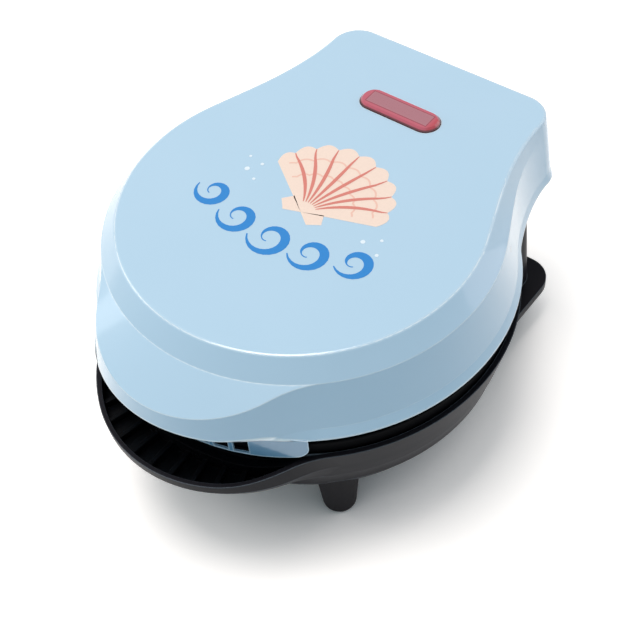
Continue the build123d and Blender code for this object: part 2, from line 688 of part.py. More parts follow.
ARM_INNER_X = LUG_INNER_X + LUG_THICK + ARM_GAP
with BuildPart() as lid_bezel:
    with BuildSketch(Plane.XY.offset(LID_SKIRT_Z)):
        Circle(LID_SKIRT_R)
        Circle(PLATE_RECESS_R, mode=Mode.SUBTRACT)
    extrude(amount=LID_EDGE - 0.2 - LID_SKIRT_Z)
    fillet(edges().group_by(Axis.Z)[0].sort_by(SortBy.RADIUS)[-1], 0.5)
    with BuildSketch(Plane.XY.offset(UPPER_LEDGE)):
        Circle(58.9)
        Circle(LEDGE_R, mode=Mode.SUBTRACT)
    extrude(amount=UPPER_TAB + TAB_THICK - UPPER_LEDGE)
    with BuildSketch(Plane.XY.offset(UPPER_TAB)):
        tab_outline()
    extrude(amount=TAB_THICK)
    # Deck that closes the rear block, cut back from the hinge and the lead.
    with BuildSketch(Plane.XY.offset(LID_EDGE + 0.4)):
        with Locations((0, 52.2)):
            Rectangle(75, 16.6)
        Circle(LEDGE_R + 1, mode=Mode.SUBTRACT)
        with Locations((0, 59)):
            Rectangle(2 * LEAD_SLOT_X, 12, mode=Mode.SUBTRACT)
    extrude(amount=2.3)
    with BuildSketch(Plane.XY.offset(LID_SKIRT_Z - 1)):
        with Locations((4.5, 61.2)):
            Rectangle(17, 12)
    extrude(amount=UPPER_TAB + TAB_THICK + 2 - LID_SKIRT_Z, mode=Mode.SUBTRACT)
    for side in (-1, 1):
        with BuildSketch(Plane.YZ.offset(side * (ARM_INNER_X + ARM_THICK / 2))):
            with Locations((HINGE_Y, HINGE_Z)):
                Circle(LUG_R - 0.1)
            with Locations((57.5, LID_EDGE + 3.7)):
                Rectangle(5.0, 6.6)
            make_hull()
        extrude(amount=ARM_THICK / 2, both=True)
        with BuildSketch(Plane.YZ.offset(side * (ARM_INNER_X + ARM_THICK / 2))):
            with Locations((HINGE_Y, HINGE_Z)):
                Circle(PIN_R - 0.02)
        extrude(amount=ARM_THICK, both=True, mode=Mode.SUBTRACT)
    with BuildSketch(Plane.XY.offset(LID_SKIRT_Z)):
        with Locations(*LID_SCREWS):
            Circle(2.7)
    extrude(amount=2.2, mode=Mode.SUBTRACT)
    with BuildSketch(Plane.XY.offset(LID_SKIRT_Z)):
        with Locations(*LID_SCREWS):
            Circle(1.6)
    extrude(amount=12, mode=Mode.SUBTRACT)
    with BuildSketch(Plane.XY.offset(UPPER_TAB - 1)):
        with Locations(*boss_points):
            Circle(1.7)
    extrude(amount=4, mode=Mode.SUBTRACT)
lid_bezel.part.label = "lid_bezel"
export_step(lid_bezel.part, "parts/lid_bezel.step")

with BuildPart() as lid_screws:
    screw_row(LID_SCREWS, LID_SKIRT_Z + 2.15, 2.5, 1.9, 1.28, 14.0)
lid_screws.part.label = "lid_screws"
export_step(lid_screws.part, "parts/lid_screws.step")

BASE_SCREWS = [(-20.6, -51.0), (20.6, -51.0), (-18.6, 58.0), (18.6, 58.0)]
POST_TOP = 35.8
DECK_REAR = 64.4
with BuildPart() as base_bezel:
    with BuildSketch(Plane.XY.offset(BASE_RIM + 0.3)):
        Circle(BASE_SKIRT_R)
        Circle(PLATE_RECESS_R, mode=Mode.SUBTRACT)
    extrude(amount=BASE_SKIRT_Z - BASE_RIM - 0.3)
    fillet(edges().group_by(Axis.Z)[-1].sort_by(SortBy.RADIUS)[-1], 0.5)
    with BuildSketch(Plane.XY.offset(SPIGOT_LOW)):
        Circle(60.2)
        Circle(LEDGE_R, mode=Mode.SUBTRACT)
    extrude(amount=FLANGE_BACK - 0.1 - SPIGOT_LOW)
    with BuildSketch(Plane.XY.offset(TAB_TOP - TAB_THICK)):
        tab_outline()
    extrude(amount=TAB_THICK)
    with BuildSketch(Plane.XY.offset(BASE_RIM - 2.4)):
        with Locations((0, (44 + DECK_REAR) / 2)):
            RectangleRounded(72, DECK_REAR - 44, 4.4)
        Circle(LEDGE_R + 1, mode=Mode.SUBTRACT)
    extrude(amount=2.4)
    with BuildSketch(Plane.XY.offset(SPIGOT_LOW - 1)):
        with Locations((-4.5, 61.4)):
            Rectangle(16, 12)
    extrude(amount=BASE_SKIRT_Z - SPIGOT_LOW + 2, mode=Mode.SUBTRACT)
    for side in (-1, 1):
        lug_middle = side * (LUG_INNER_X + LUG_THICK / 2)
        with BuildSketch(Plane.YZ.offset(lug_middle)):
            with Locations((HINGE_Y, HINGE_Z)):
                Circle(LUG_R)
            with Locations((DECK_REAR - 4.7, BASE_RIM + 0.7)):
                Rectangle(9.4, 0.7)
            make_hull()
        extrude(amount=LUG_THICK / 2, both=True)
        with BuildSketch(Plane.YZ.offset(lug_middle)):
            with Locations((DECK_REAR - 4.7, BASE_RIM - 0.5)):
                Rectangle(9.4, 2.4)
        extrude(amount=LUG_THICK / 2, both=True)
        with BuildSketch(Plane.YZ.offset(lug_middle)):
            with Locations((HINGE_Y, HINGE_Z)):
                Circle(PIN_R + PIN_CLEARANCE)
        extrude(amount=LUG_THICK, both=True, mode=Mode.SUBTRACT)
    with BuildSketch(Plane.XY.offset(POST_TOP + 0.1)):
        with Locations(*BASE_SCREWS):
            Circle(3.2)
    extrude(amount=BASE_RIM - 2.2 - POST_TOP)
    with BuildSketch(Plane.XY.offset(POST_TOP)):
        with Locations(*BASE_SCREWS):
            Circle(1.3)
    extrude(amount=6.4, mode=Mode.SUBTRACT)
    with BuildSketch(Plane.XY.offset(TAB_TOP - TAB_THICK - 1)):
        with Locations(*boss_points):
            Circle(1.7)
    extrude(amount=4, mode=Mode.SUBTRACT)
base_bezel.part.label = "base_bezel"
export_step(base_bezel.part, "parts/base_bezel.step")

with BuildPart() as hinge_pins:
    for side in (-1, 1):
        with BuildSketch(Plane.YZ.offset(side * (LUG_INNER_X - 0.5))):
            with Locations((HINGE_Y, HINGE_Z)):
                Circle(PIN_R)
        extrude(amount=side * (LUG_THICK + ARM_GAP + ARM_THICK + 0.8))
hinge_pins.part.label = "hinge_pins"
export_step(hinge_pins.part, "parts/hinge_pins.step")

# Base bowl with its tray handle, rear block and tail plate.
# level, body radius, lobe radius, lobe centre
LOBE_RIM_Y = -35.8
BASE_LEVELS = [
    (BASE_BOTTOM, 46.5, 30.0, -17.2),
    (20.0, 54.0, 34.4, -20.6),
    (28.0, 58.6, 35.2, -28.9),
    (34.0, 60.2, 37.6, -34.4),
    (38.0, 61.2, 39.4, -35.2),
    (41.0, 61.9, 40.9, -35.5),
    (BASE_RIM, BASE_RIM_R, 41.2, LOBE_RIM_Y),
]
with BuildPart() as base_solid:
    for z, radius, lobe_r, lobe_y in BASE_LEVELS:
        with BuildSketch(Plane.XY.offset(z)):
            with BuildLine():
                base_outline(radius, lobe_r, lobe_y)
            make_face()
    loft(ruled=True)
    with BuildSketch(Plane.XY.offset(BASE_BOTTOM)):
        with Locations((0, 43.9)):
            RectangleRounded(82, 47.4, 6)
    with BuildSketch(Plane.XY.offset(BASE_RIM)):
        with Locations((0, 43.5)):
            RectangleRounded(77, 47, 6)
    loft(ruled=True)
    with BuildSketch(Plane.XY.offset(BASE_BOTTOM + 0.4)) as tail:
        with Locations((0, 36.2)):
            Rectangle(93.2, 72.4)
        fillet(tail.vertices().group_by(Axis.Y)[-1], 9.0)
    extrude(amount=TAIL_TOP - BASE_BOTTOM)

# The rim dips from the bowl's level to the tray's level across the front.
with BuildPart() as rim_dip:
    with BuildSketch(Plane.XZ.offset(20)):
        with BuildLine():
            Line((0, TRAY_RIM), (20, TRAY_RIM))
            Bezier((20, TRAY_RIM), (32, TRAY_RIM), (32, BASE_RIM), (46, BASE_RIM + 0.1))
            Line((46, BASE_RIM + 0.1), (46, BASE_RIM + 8))
            Line((46, BASE_RIM + 8), (0, BASE_RIM + 8))
            mirror(about=Plane.YZ)
        make_face()
    extrude(amount=70)
    with BuildSketch(Plane.XY.offset(TRAY_RIM - 1)):
        Circle(62.05)
    extrude(amount=20, mode=Mode.SUBTRACT)

# The handle is a tray, with thin ribs below the level of its rim.
TRAY_FLOOR = 39.0
RIB_TOP = 41.6
with BuildPart() as tray_hollow:
    with BuildSketch(Plane.XY.offset(TRAY_FLOOR)):
        with Locations((0, LOBE_RIM_Y)):
            Circle(39.4)
        Circle(64.9, mode=Mode.SUBTRACT)
    extrude(amount=20)
    for step in range(-6, 7):
        turn = -90 + step * VISOR_RIB_STEP
        with BuildSketch(Plane.XY.offset(TRAY_FLOOR - 1)):
            with Locations(Location(polar(70, turn) + (0,), (0, 0, turn))):
                Rectangle(14, 1.3)
        extrude(amount=RIB_TOP - TRAY_FLOOR + 1, mode=Mode.SUBTRACT)

with BuildPart() as bowl_hollow:
    with BuildSketch(Plane.XZ):
        with BuildLine():
            Polyline(
                (0, BASE_BOTTOM + 2.4),
                (45, BASE_BOTTOM + 2.4),
                (52.0, 21.4),
                (56.2, 28.6),
                (58.0, 34.6),
                (59.6, 40.5),
                (60.5, 42.0),
                (62.0, BASE_RIM),
                (62.0, BASE_RIM + 2),
                (0, BASE_RIM + 2),
                close=True,
            )
        make_face()
    revolve(axis=Axis.Z)
    with BuildSketch(Plane.XY.offset(BASE_BOTTOM + 2.4)):
        with Locations((0, 41.8)):
            RectangleRounded(77.4, 45.6, 4)
    with BuildSketch(Plane.XY.offset(BASE_RIM + 0.1)):
        with Locations((0, 41.4)):
            RectangleRounded(72.6, 46.6, 4)
    loft(ruled=True)

FEET = [(-FOOT_X, FOOT_FRONT_Y), (FOOT_X, FOOT_FRONT_Y),
        (-FOOT_REAR_X, FOOT_REAR_Y), (FOOT_REAR_X, FOOT_REAR_Y)]
with BuildPart() as posts:
    with BuildSketch(Plane.XY.offset(BASE_BOTTOM)):
        with Locations(*BASE_SCREWS):
            Circle(3.7)
    extrude(amount=POST_TOP - BASE_BOTTOM)
    with BuildSketch(Plane.XY.offset(BASE_BOTTOM)):
        with Locations(*FEET):
            Circle(4.4)
    extrude(amount=9.0)
    add(base_solid.part, mode=Mode.INTERSECT)

CORD_R = 3.6
CORD_Z = 28.0
STEM_R = 2.3
with BuildPart() as base_shell:
    add(base_solid.part)
    add(rim_dip.part, mode=Mode.SUBTRACT)
    add(tray_hollow.part, mode=Mode.SUBTRACT)
    add(bowl_hollow.part, mode=Mode.SUBTRACT)
    add(posts.part)
    with BuildSketch(Plane.XY):
        with Locations(*BASE_SCREWS):
            Circle(2.9)
    extrude(amount=30.0, mode=Mode.SUBTRACT)
    with BuildSketch(Plane.XY):
        with Locations(*BASE_SCREWS):
            Circle(1.6)
    extrude(amount=POST_TOP + 1, mode=Mode.SUBTRACT)
    with BuildSketch(Plane.XY):
        with Locations(*FEET):
            Circle(STEM_R + 0.05)
    extrude(amount=BASE_BOTTOM + 7.5, mode=Mode.SUBTRACT)
    # The supply cord's inlet is a moulded collar in the rear wall.
    with BuildSketch(Plane.XZ.offset(-61.5)):
        with Locations((0, CORD_Z)):
            Circle(6.2)
    extrude(amount=-8.7)
    with BuildSketch(Plane.XZ.offset(-60)):
        with Locations((0, CORD_Z)):
            Circle(CORD_R)
    extrude(amount=-12, mode=Mode.SUBTRACT)
base_shell.part.label = "base_shell"
export_step(base_shell.part, "parts/base_shell.step")

with BuildPart() as base_screws:
    screw_row(BASE_SCREWS, 29.95, 2.7, 2.0, 1.28, 11.6)
base_screws.part.label = "base_screws"
export_step(base_screws.part, "parts/base_screws.step")

# Tapered rubber feet. Their tops follow the underside, with a stem in the post.
with BuildPart() as foot_cone:
    with BuildSketch(Plane.XZ):
        with BuildLine():
            Line((0, 0), (2.4, 0))
            ThreePointArc((2.4, 0), (4.45, 0.85), (5.3, 2.9))
            Line((5.3, 2.9), (7.2, 23))
            Line((7.2, 23), (0, 23))
            Line((0, 23), (0, 0))
        make_face()
    revolve(axis=Axis.Z)
with BuildPart() as feet:
    with Locations(*FEET):
        add(foot_cone.part)
    add(base_solid.part, mode=Mode.SUBTRACT)
    with BuildSketch(Plane.XY.offset(8)):
        with Locations(*FEET):
            Circle(STEM_R)
    extrude(amount=BASE_BOTTOM + 7.0 - 8)
feet.part.label = "feet"
export_step(feet.part, "parts/feet.step")

# Terminal block on the floor of the base, below the heat shield.
BLOCK_Y = 45.0
BLOCK_TOP = BASE_BOTTOM + 2.4 + 8.6
with BuildPart() as terminal_block:
    with BuildSketch(Plane.XY.offset(BASE_BOTTOM + 2.4)):
        with Locations((0, BLOCK_Y)):
            RectangleRounded(25, 12, 1.2)
    extrude(amount=8.6)
    with BuildSketch(Plane.XY.offset(BLOCK_TOP)):
        with Locations((-6.2, BLOCK_Y), (6.2, BLOCK_Y)):
            Circle(1.9)
    extrude(amount=-3.0, mode=Mode.SUBTRACT)
    with BuildSketch(Plane.XZ.offset(-BLOCK_Y)):
        with Locations((-6.2, BLOCK_TOP - 4.4), (6.2, BLOCK_TOP - 4.4)):
            Circle(1.6)
    extrude(amount=10, both=True, mode=Mode.SUBTRACT)
terminal_block.part.label = "terminal_block"
export_step(terminal_block.part, "parts/terminal_block.step")


def wire(points, radius, bend):
    """Add a round wire along straight runs joined by bends of one radius."""
    with BuildLine() as route:
        FilletPolyline(*points, radius=bend)
    heading = Vector(*points[1]) - Vector(*points[0])
    with BuildSketch(Plane(points[0], z_dir=heading)) as section:
        Circle(radius)
    sweep(section.sketch, path=route.line, transition=Transition.RIGHT)


WIRE_R = 0.9
WIRE_END_Y = 56.96
BLADE_WIRE_X = 5.55
FUSE_WIRE_X = 14.96
UNDER_HEATER = 31.2
BLOCK_WIRE_Z = BLOCK_TOP - 4.4
with BuildPart() as base_wires:
    # From the block to the thermostat.
    wire([(-6.2, 39.6, BLOCK_WIRE_Z), (-6.2, 10, BLOCK_WIRE_Z), (-BLADE_WIRE_X, 0, BLOCK_WIRE_Z),
          (-BLADE_WIRE_X, 0, 27.0)], WIRE_R, 3.0)
    # From the thermostat to the fuse.
    wire([(BLADE_WIRE_X, 0, 27.0), (BLADE_WIRE_X, 0, 20.6), (8.0, -9.0, 20.6),
          (8.0, -9.0, UNDER_HEATER), (FUSE_WIRE_X, FUSE_Y, UNDER_HEATER),
          (FUSE_WIRE_X, FUSE_Y, FUSE_Z + 0.5)], WIRE_R, 2.0)
    # From the fuse to one end of the heater.
    wire([(-FUSE_WIRE_X, FUSE_Y, FUSE_Z + 0.5), (-FUSE_WIRE_X, FUSE_Y, UNDER_HEATER),
          (-17.0, -8.0, UNDER_HEATER), (-17.0, 14.0, UNDER_HEATER), (-12.4, 28.0, UNDER_HEATER),
          (-12.4, 51.0, UNDER_HEATER), (-ELEMENT_LEG_X, WIRE_END_Y, UNDER_HEATER),
          (-ELEMENT_LEG_X, WIRE_END_Y, ELEMENT_Z + 0.9)], WIRE_R, 2.0)
    # From the heater's other end back to the block.
    wire([(6.2, 50.6, BLOCK_WIRE_Z), (6.2, WIRE_END_Y, BLOCK_WIRE_Z),
          (ELEMENT_LEG_X, WIRE_END_Y, 26.0), (ELEMENT_LEG_X, WIRE_END_Y, ELEMENT_Z + 0.9)],
         WIRE_R, 2.0)
    # From both terminals to the lid's lead.
    for side in (-1, 1):
        wire([(side * 0.95, WIRE_END_Y, 36.9), (side * 0.95, WIRE_END_Y, 34.2),
              (side * 6.95, WIRE_END_Y, 34.2)], WIRE_R, 1.2)
base_wires.part.label = "base_wires"
export_step(base_wires.part, "parts/base_wires.step")

# The leads to the lid cross over on the hinge axis, so they only twist there.
LEAD_R = 1.9
LEAD_BEND = 3.0
with BuildPart() as base_lead:
    wire([(0, WIRE_END_Y, 37.0), (0, WIRE_END_Y, 41.0), (-8.0, 60.4, 48.4), (-8.0, HINGE_Y, HINGE_Z),
          (-0.2, HINGE_Y, HINGE_Z)], LEAD_R, LEAD_BEND)
base_lead.part.label = "base_lead"
export_step(base_lead.part, "parts/base_lead.step")

with BuildPart() as lid_lead:
    wire([(0.2, HINGE_Y, HINGE_Z), (8.5, HINGE_Y, HINGE_Z), (8.5, 60.0, 59.6),
          (0, 57.0, 61.0), (0, 57.0, 65.0)], LEAD_R, 2.4)
lid_lead.part.label = "lid_lead"
export_step(lid_lead.part, "parts/lid_lead.step")

UPPER_ELEMENT_Z = 2 * MIRROR_Z - ELEMENT_Z
with BuildPart() as lid_wires:
    for side in (-1, 1):
        wire([(side * 0.95, WIRE_END_Y, 65.1), (side * 0.95, WIRE_END_Y, 67.4),
              (side * ELEMENT_LEG_X, WIRE_END_Y, 67.4),
              (side * ELEMENT_LEG_X, WIRE_END_Y, UPPER_ELEMENT_Z + 0.9)], WIRE_R, 1.2)
lid_wires.part.label = "lid_wires"
export_step(lid_wires.part, "parts/lid_wires.step")
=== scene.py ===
import math

import bmesh
import bpy
from mathutils import Matrix, Vector


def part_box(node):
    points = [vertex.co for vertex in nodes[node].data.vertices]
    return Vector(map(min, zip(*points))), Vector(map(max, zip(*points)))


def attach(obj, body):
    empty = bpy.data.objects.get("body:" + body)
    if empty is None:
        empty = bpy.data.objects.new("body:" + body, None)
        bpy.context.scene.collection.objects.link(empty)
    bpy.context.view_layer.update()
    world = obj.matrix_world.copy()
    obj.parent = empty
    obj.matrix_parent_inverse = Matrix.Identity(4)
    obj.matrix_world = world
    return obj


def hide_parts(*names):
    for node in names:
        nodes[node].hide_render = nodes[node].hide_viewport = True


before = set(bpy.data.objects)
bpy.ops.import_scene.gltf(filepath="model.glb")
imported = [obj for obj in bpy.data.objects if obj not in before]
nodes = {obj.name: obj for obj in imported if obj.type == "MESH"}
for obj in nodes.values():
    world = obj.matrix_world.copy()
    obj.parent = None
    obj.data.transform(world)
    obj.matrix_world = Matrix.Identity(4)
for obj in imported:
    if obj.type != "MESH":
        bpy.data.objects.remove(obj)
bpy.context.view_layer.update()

# View: the camera looks down on the front right of the lid from about 0.37 m,
# turned a little on its own axis, which is how the object stands in its picture.
look_azimuth = math.radians(42.3)
look_elevation = math.radians(50.3)
look_roll = math.radians(-6.1)
look_target = Vector((0.0046, -0.0062, 0.0400))
look_distance = 0.3672
camera_back = Vector((
    math.sin(look_azimuth) * math.cos(look_elevation),
    -math.cos(look_azimuth) * math.cos(look_elevation),
    math.sin(look_elevation),
))
level_right = Vector((math.cos(look_azimuth), math.sin(look_azimuth), 0))
level_up = camera_back.cross(level_right)
camera_right = math.cos(look_roll) * level_right + math.sin(look_roll) * level_up
camera_up = math.cos(look_roll) * level_up - math.sin(look_roll) * level_right
camera_data = bpy.data.cameras.new("view_camera")
camera_data.sensor_width = 36.0
camera_data.lens = 67.5
camera_data.clip_start = 0.01
camera_data.clip_end = 20.0
camera = bpy.data.objects.new("view_camera", camera_data)
bpy.context.scene.collection.objects.link(camera)
turn = Matrix((camera_right, camera_up, camera_back)).transposed()
camera.matrix_world = Matrix.Translation(look_target + look_distance * camera_back) @ turn.to_4x4()
bpy.context.scene.camera = camera
bpy.context.scene.view_settings.view_transform = "Standard"


# Studio: a wide pale floor under a white sky. A soft lamp hangs overhead, a small one
# and a low strip stand on the left, and weak ones fill in from the front and the rear.
# The camera sees the floor as white paper, with the lamps' shadow on it and a painted contact shadow that
# deepens near the object.
class Wire:
    """A shader socket that takes part in Python sums."""

    def __init__(self, tree, socket):
        self.tree = tree
        self.socket = socket

    def node(self, kind, settings=None, links=None, output=0):
        """Add any node: its settings are set first, then its sockets get values or links."""
        made = self.tree.nodes.new(kind)
        for name, value in (settings or {}).items():
            if name == "stops":
                ramp = made.color_ramp
                while len(ramp.elements) < len(value):
                    ramp.elements.new(0.5)
                for stop, (place, colour) in zip(ramp.elements, value):
                    stop.position = place
                    stop.color = (*colour, 1) if isinstance(colour, tuple) else (colour, colour, colour, 1)
            else:
                setattr(made, name, value)
        for name, value in (links or {}).items():
            if isinstance(value, Wire):
                self.tree.links.new(value.socket, made.inputs[name])
            else:
                made.inputs[name].default_value = value
        return Wire(self.tree, made.outputs[output])

    def math(self, operation, *others):
        return self.node("ShaderNodeMath", {"operation": operation}, dict(enumerate((self, *others))))

    def __add__(self, other):
        return self.math("ADD", other)

    def __mul__(self, other):
        return self.math("MULTIPLY", other)

    def __sub__(self, other):
        return self.math("SUBTRACT", other)

    def __truediv__(self, other):
        return self.math("DIVIDE", other)

    def __rsub__(self, other):
        return self * -1 + other

    __radd__ = __add__
    __rmul__ = __mul__

    def clamp(self):
        return self.math("MAXIMUM", 0.0).math("MINIMUM", 1.0)

    def fade(self, start, end):
        """0 where this number is at start or before it, 1 from end on, and even in between."""
        return ((self - start) / (end - start)).clamp()

    def noise(self, scale, detail=2.0, output="Fac"):
        """Cloudy noise at this many waves a metre, with this socket as its place."""
        sockets = {"Vector": self, "Scale": scale, "Detail": detail}
        return self.node("ShaderNodeTexNoise", {}, sockets, output)

    def part(self, letter):
        """One number of a vector."""
        return self.node("ShaderNodeSeparateXYZ", {}, {"Vector": self}, letter)

    def blend(self, low, high):
        """Mix two colours by this number. Each is a wire, or red, green and blue."""
        low, high = (end if isinstance(end, Wire) else (*end, 1) for end in (low, high))
        return self.node("ShaderNodeMix", {"data_type": "RGBA"}, {"Factor": self, 6: low, 7: high}, 2)


def new_finish(name, colour, roughness, metallic=0.0, **steady):
    """Start a material. Returns it, its shader and the place on the object as a Wire."""
    material = bpy.data.materials.new(name)
    material.use_nodes = True
    tree = material.node_tree
    shader = tree.nodes["Principled BSDF"]
    shader.inputs["Base Color"].default_value = (*colour, 1)
    shader.inputs["Roughness"].default_value = roughness
    shader.inputs["Metallic"].default_value = metallic
    for socket, value in steady.items():
        shader.inputs[socket.replace("_", " ")].default_value = value
    place = Wire(tree, tree.nodes.new("ShaderNodeTexCoord").outputs["Object"])
    return material, shader, place


def white_rays(tree):
    """1 for the rays that show the backdrop: the camera's, and those off gloss and through glass."""
    paths = tree.nodes.new("ShaderNodeLightPath")
    seen = Wire(tree, paths.outputs["Is Camera Ray"])
    for ray in ("Is Glossy Ray", "Is Transmission Ray"):
        seen = seen.math("MAXIMUM", Wire(tree, paths.outputs[ray]))
    return seen


FLOOR_HALF = 3.0
FLOOR_CORNERS = [(x * FLOOR_HALF, y * FLOOR_HALF, 0) for x, y in ((-1, -1), (1, -1), (1, 1), (-1, 1))]
PAPER_BOUNCE = (0.576, 0.744, 0.832)
PAPER_SEEN = (1.04, 0.9984, 0.962)
PAPER_LIFT = 0.40
LIFT_COLOUR = (1.0, 0.92, 0.885)
CONTACT_REACH = 0.055
CONTACT_DARK = 0.33
CONTACT_OPEN = 0.62
floor_mesh = bpy.data.meshes.new("studio_floor")
floor_mesh.from_pydata(FLOOR_CORNERS, [], [(0, 1, 2, 3)])
floor = bpy.data.objects.new("studio_floor", floor_mesh)
bpy.context.scene.collection.objects.link(floor)
floor_finish, floor_shader, floor_place = new_finish(
    "paper_floor", PAPER_BOUNCE, 0.9, Specular_IOR_Level=0.0)
floor_tree = floor_finish.node_tree
seen_colour = floor_place.node("ShaderNodeBsdfDiffuse", {}, {"Color": (*PAPER_SEEN, 1)})
# Painted contact shadow: the paper's glow fades out where ambient occlusion finds the object close.
open_share = floor_place.node(
    "ShaderNodeAmbientOcclusion", {"samples": 8}, {"Distance": CONTACT_REACH}, "AO")
lift_colour = open_share.fade(CONTACT_DARK, CONTACT_OPEN).blend((0, 0, 0), LIFT_COLOUR)
seen_lift = floor_place.node("ShaderNodeEmission", {}, {"Color": lift_colour, "Strength": PAPER_LIFT})
seen_paper = floor_place.node("ShaderNodeAddShader", {}, {0: seen_colour, 1: seen_lift})
floor_mix = floor_place.node("ShaderNodeMixShader", {}, {
    0: white_rays(floor_tree), 1: Wire(floor_tree, floor_shader.outputs[0]), 2: seen_paper})
floor_tree.links.new(floor_mix.socket, floor_tree.nodes["Material Output"].inputs["Surface"])
floor_mesh.materials.append(floor_finish)

AIR_COLOUR = (0.62, 0.87, 1.0)
AIR_STRENGTH = 0.31
world = bpy.data.worlds.new("studio_air")
bpy.context.scene.world = world
world.use_nodes = True
air_tree = world.node_tree
air_seen = white_rays(air_tree)
air_soft = air_seen.node("ShaderNodeBackground", {}, {"Color": (*AIR_COLOUR, 1), "Strength": AIR_STRENGTH})
air_white = air_seen.node("ShaderNodeBackground", {}, {"Color": (1, 1, 1, 1), "Strength": 1.0})
air_mix = air_seen.node("ShaderNodeMixShader", {}, {0: air_seen, 1: air_soft, 2: air_white})
air_tree.links.new(air_mix.socket, air_tree.nodes["World Output"].inputs["Surface"])


def soft_lamp(name, place, aim, width, depth, power, colour=(1, 1, 1), along=(1, 0, 0)):
    """A rectangular studio lamp that faces a point, with its width turned along a direction."""
    lamp_data = bpy.data.lights.new(name, "AREA")
    lamp_data.shape = "RECTANGLE"
    lamp_data.size = width
    lamp_data.size_y = depth
    lamp_data.energy = power
    lamp_data.color = colour
    lamp = bpy.data.objects.new(name, lamp_data)
    bpy.context.scene.collection.objects.link(lamp)
    behind = (Vector(place) - Vector(aim)).normalized()
    upright = behind.cross(Vector(along)).normalized()
    facing = Matrix((upright.cross(behind), upright, behind)).transposed()
    lamp.matrix_world = Matrix.Translation(place) @ facing.to_4x4()


soft_lamp("overhead_lamp", (-0.18, -0.10, 1.35), (0, 0, 0.05), 0.62, 0.62, 12.0, (1.0, 0.97, 0.95))
soft_lamp("left_lamp", (-0.85, -0.22, 0.72), (0, 0, 0.06), 0.34, 0.40, 1.0, along=(0, 1, 0))
soft_lamp("strip_lamp", (-0.747, -0.36, 0.252), (0, 0, 0.06), 0.50, 0.10, 0.7, along=(0.234, -0.36, 0.252))
soft_lamp("front_lamp", (0.60, -0.95, 0.85), (0, 0, 0.05), 0.7, 0.7, 0.2, (0.62, 0.88, 1.0))
soft_lamp("rear_lamp", (0.80, 1.00, 0.42), (0, 0.04, 0.05), 0.9, 0.9, 2.6, (1.0, 0.90, 0.95))

# Base bowl: one satin black moulding with a shallow tray handle at the front. The
# mould leaves a fine spark-eroded grain that softens the gloss, and the tray, which
# the grain doesn't reach, is smooth. Its hollow is painted near black as painted shade,
# and a painted highlight runs along the bowl's edges outside the tray.
EDGE_STARTS = 0.994
EDGE_FULL = 0.9849


def linear(red, green, blue):
    """A colour as written for a screen, 0 to 255, in the renderer's linear numbers."""
    shares = (red / 255, green / 255, blue / 255)
    return tuple(((share + 0.055) / 1.055) ** 2.4 if share > 0.04 else share / 12.92 for share in shares)


def feed(shader, edge=None, **wires):
    """Link wires to the shader's sockets, and a height in metres through a bump node.

    edge is the radius in metres to which the moulded or rolled edges are rounded.
    """
    for socket, wire in wires.items():
        if socket == "Height":
            relief = {"Height": wire, "Distance": 1.0, "Strength": 1.0}
            if edge:
                relief["Normal"] = wire.node("ShaderNodeBevel", {"samples": 6}, {"Radius": edge})
            wire = wire.node("ShaderNodeBump", {}, relief)
            socket = "Normal"
        wire.tree.links.new(wire.socket, shader.inputs[socket.replace("_", " ")])


def edge_line(place, radius):
    """1 along moulded edges within this radius in metres, and 0 on flat or gently curved faces."""
    rounded = place.node("ShaderNodeBevel", {"samples": 6}, {"Radius": radius})
    flat = place.node("ShaderNodeNewGeometry", {}, {}, "True Normal")
    dot = {"operation": "DOT_PRODUCT"}
    likeness = rounded.node("ShaderNodeVectorMath", dot, {0: rounded, 1: flat}, "Value")
    return likeness.fade(EDGE_STARTS, EDGE_FULL)


def dress(material, *names):
    """Give a finish to CAD pieces."""
    for name in names:
        mesh = nodes[name].data
        mesh.materials.clear()
        mesh.materials.append(material)


TRAY_CENTRE_Y = -0.0358
TRAY_INNER_R = 0.0397
TRAY_LOW = 0.0386
TRAY_FADE = 0.00025
BOWL_EDGE_REACH = 0.0004
bowl_finish, bowl_shader, bowl_place = new_finish(
    "black_bowl_plastic", linear(33, 30, 33), 0.36, Specular_IOR_Level=0.05)
bowl_grain = bowl_place.noise(2600.0, 3.0)
bowl_cloud = bowl_place.noise(60.0, 2.0)
tray_y = bowl_place.part("Y") - TRAY_CENTRE_Y
tray_x = bowl_place.part("X")
tray_reach = (tray_x * tray_x + tray_y * tray_y).math("SQRT")
in_circle = tray_reach.fade(TRAY_INNER_R, TRAY_INNER_R - TRAY_FADE)
# in_tray marks the tray's hollow: it is painted near black there as painted shade, and made smoother.
in_tray = in_circle * bowl_place.part("Z").fade(TRAY_LOW, TRAY_LOW + TRAY_FADE)
# Painted highlight: a pale line along the bowl's edges outside the tray.
bowl_edge_highlight = edge_line(bowl_place, BOWL_EDGE_REACH) * (1 - in_circle) * 0.8
bowl_colour = bowl_cloud.blend(linear(29, 27, 31), linear(34, 32, 36))
feed(bowl_shader, BOWL_EDGE_REACH,
     Base_Color=bowl_edge_highlight.blend(in_tray.blend(bowl_colour, linear(9, 10, 13)), linear(118, 122, 128)),
     Roughness=0.30 + bowl_cloud * 0.08 - in_tray * 0.06,
     Height=bowl_grain * (1 - in_tray) * 0.000012)
dress(bowl_finish, "base_shell")

# Feet: four moulded rubber cones, each with a stem pushed into a post under the bowl.
# They pick up a little dust.
foot_finish, foot_shader, foot_place = new_finish(
    "foot_rubber", linear(27, 26, 28), 0.62, Specular_IOR_Level=0.12)
foot_dust = foot_place.noise(900.0, 4.0)
feed(foot_shader,
     Base_Color=foot_dust.blend(linear(20, 18, 20), linear(36, 33, 36)),
     Roughness=0.55 + foot_dust * 0.2,
     Height=foot_dust * 0.00003)
dress(foot_finish, "feet")

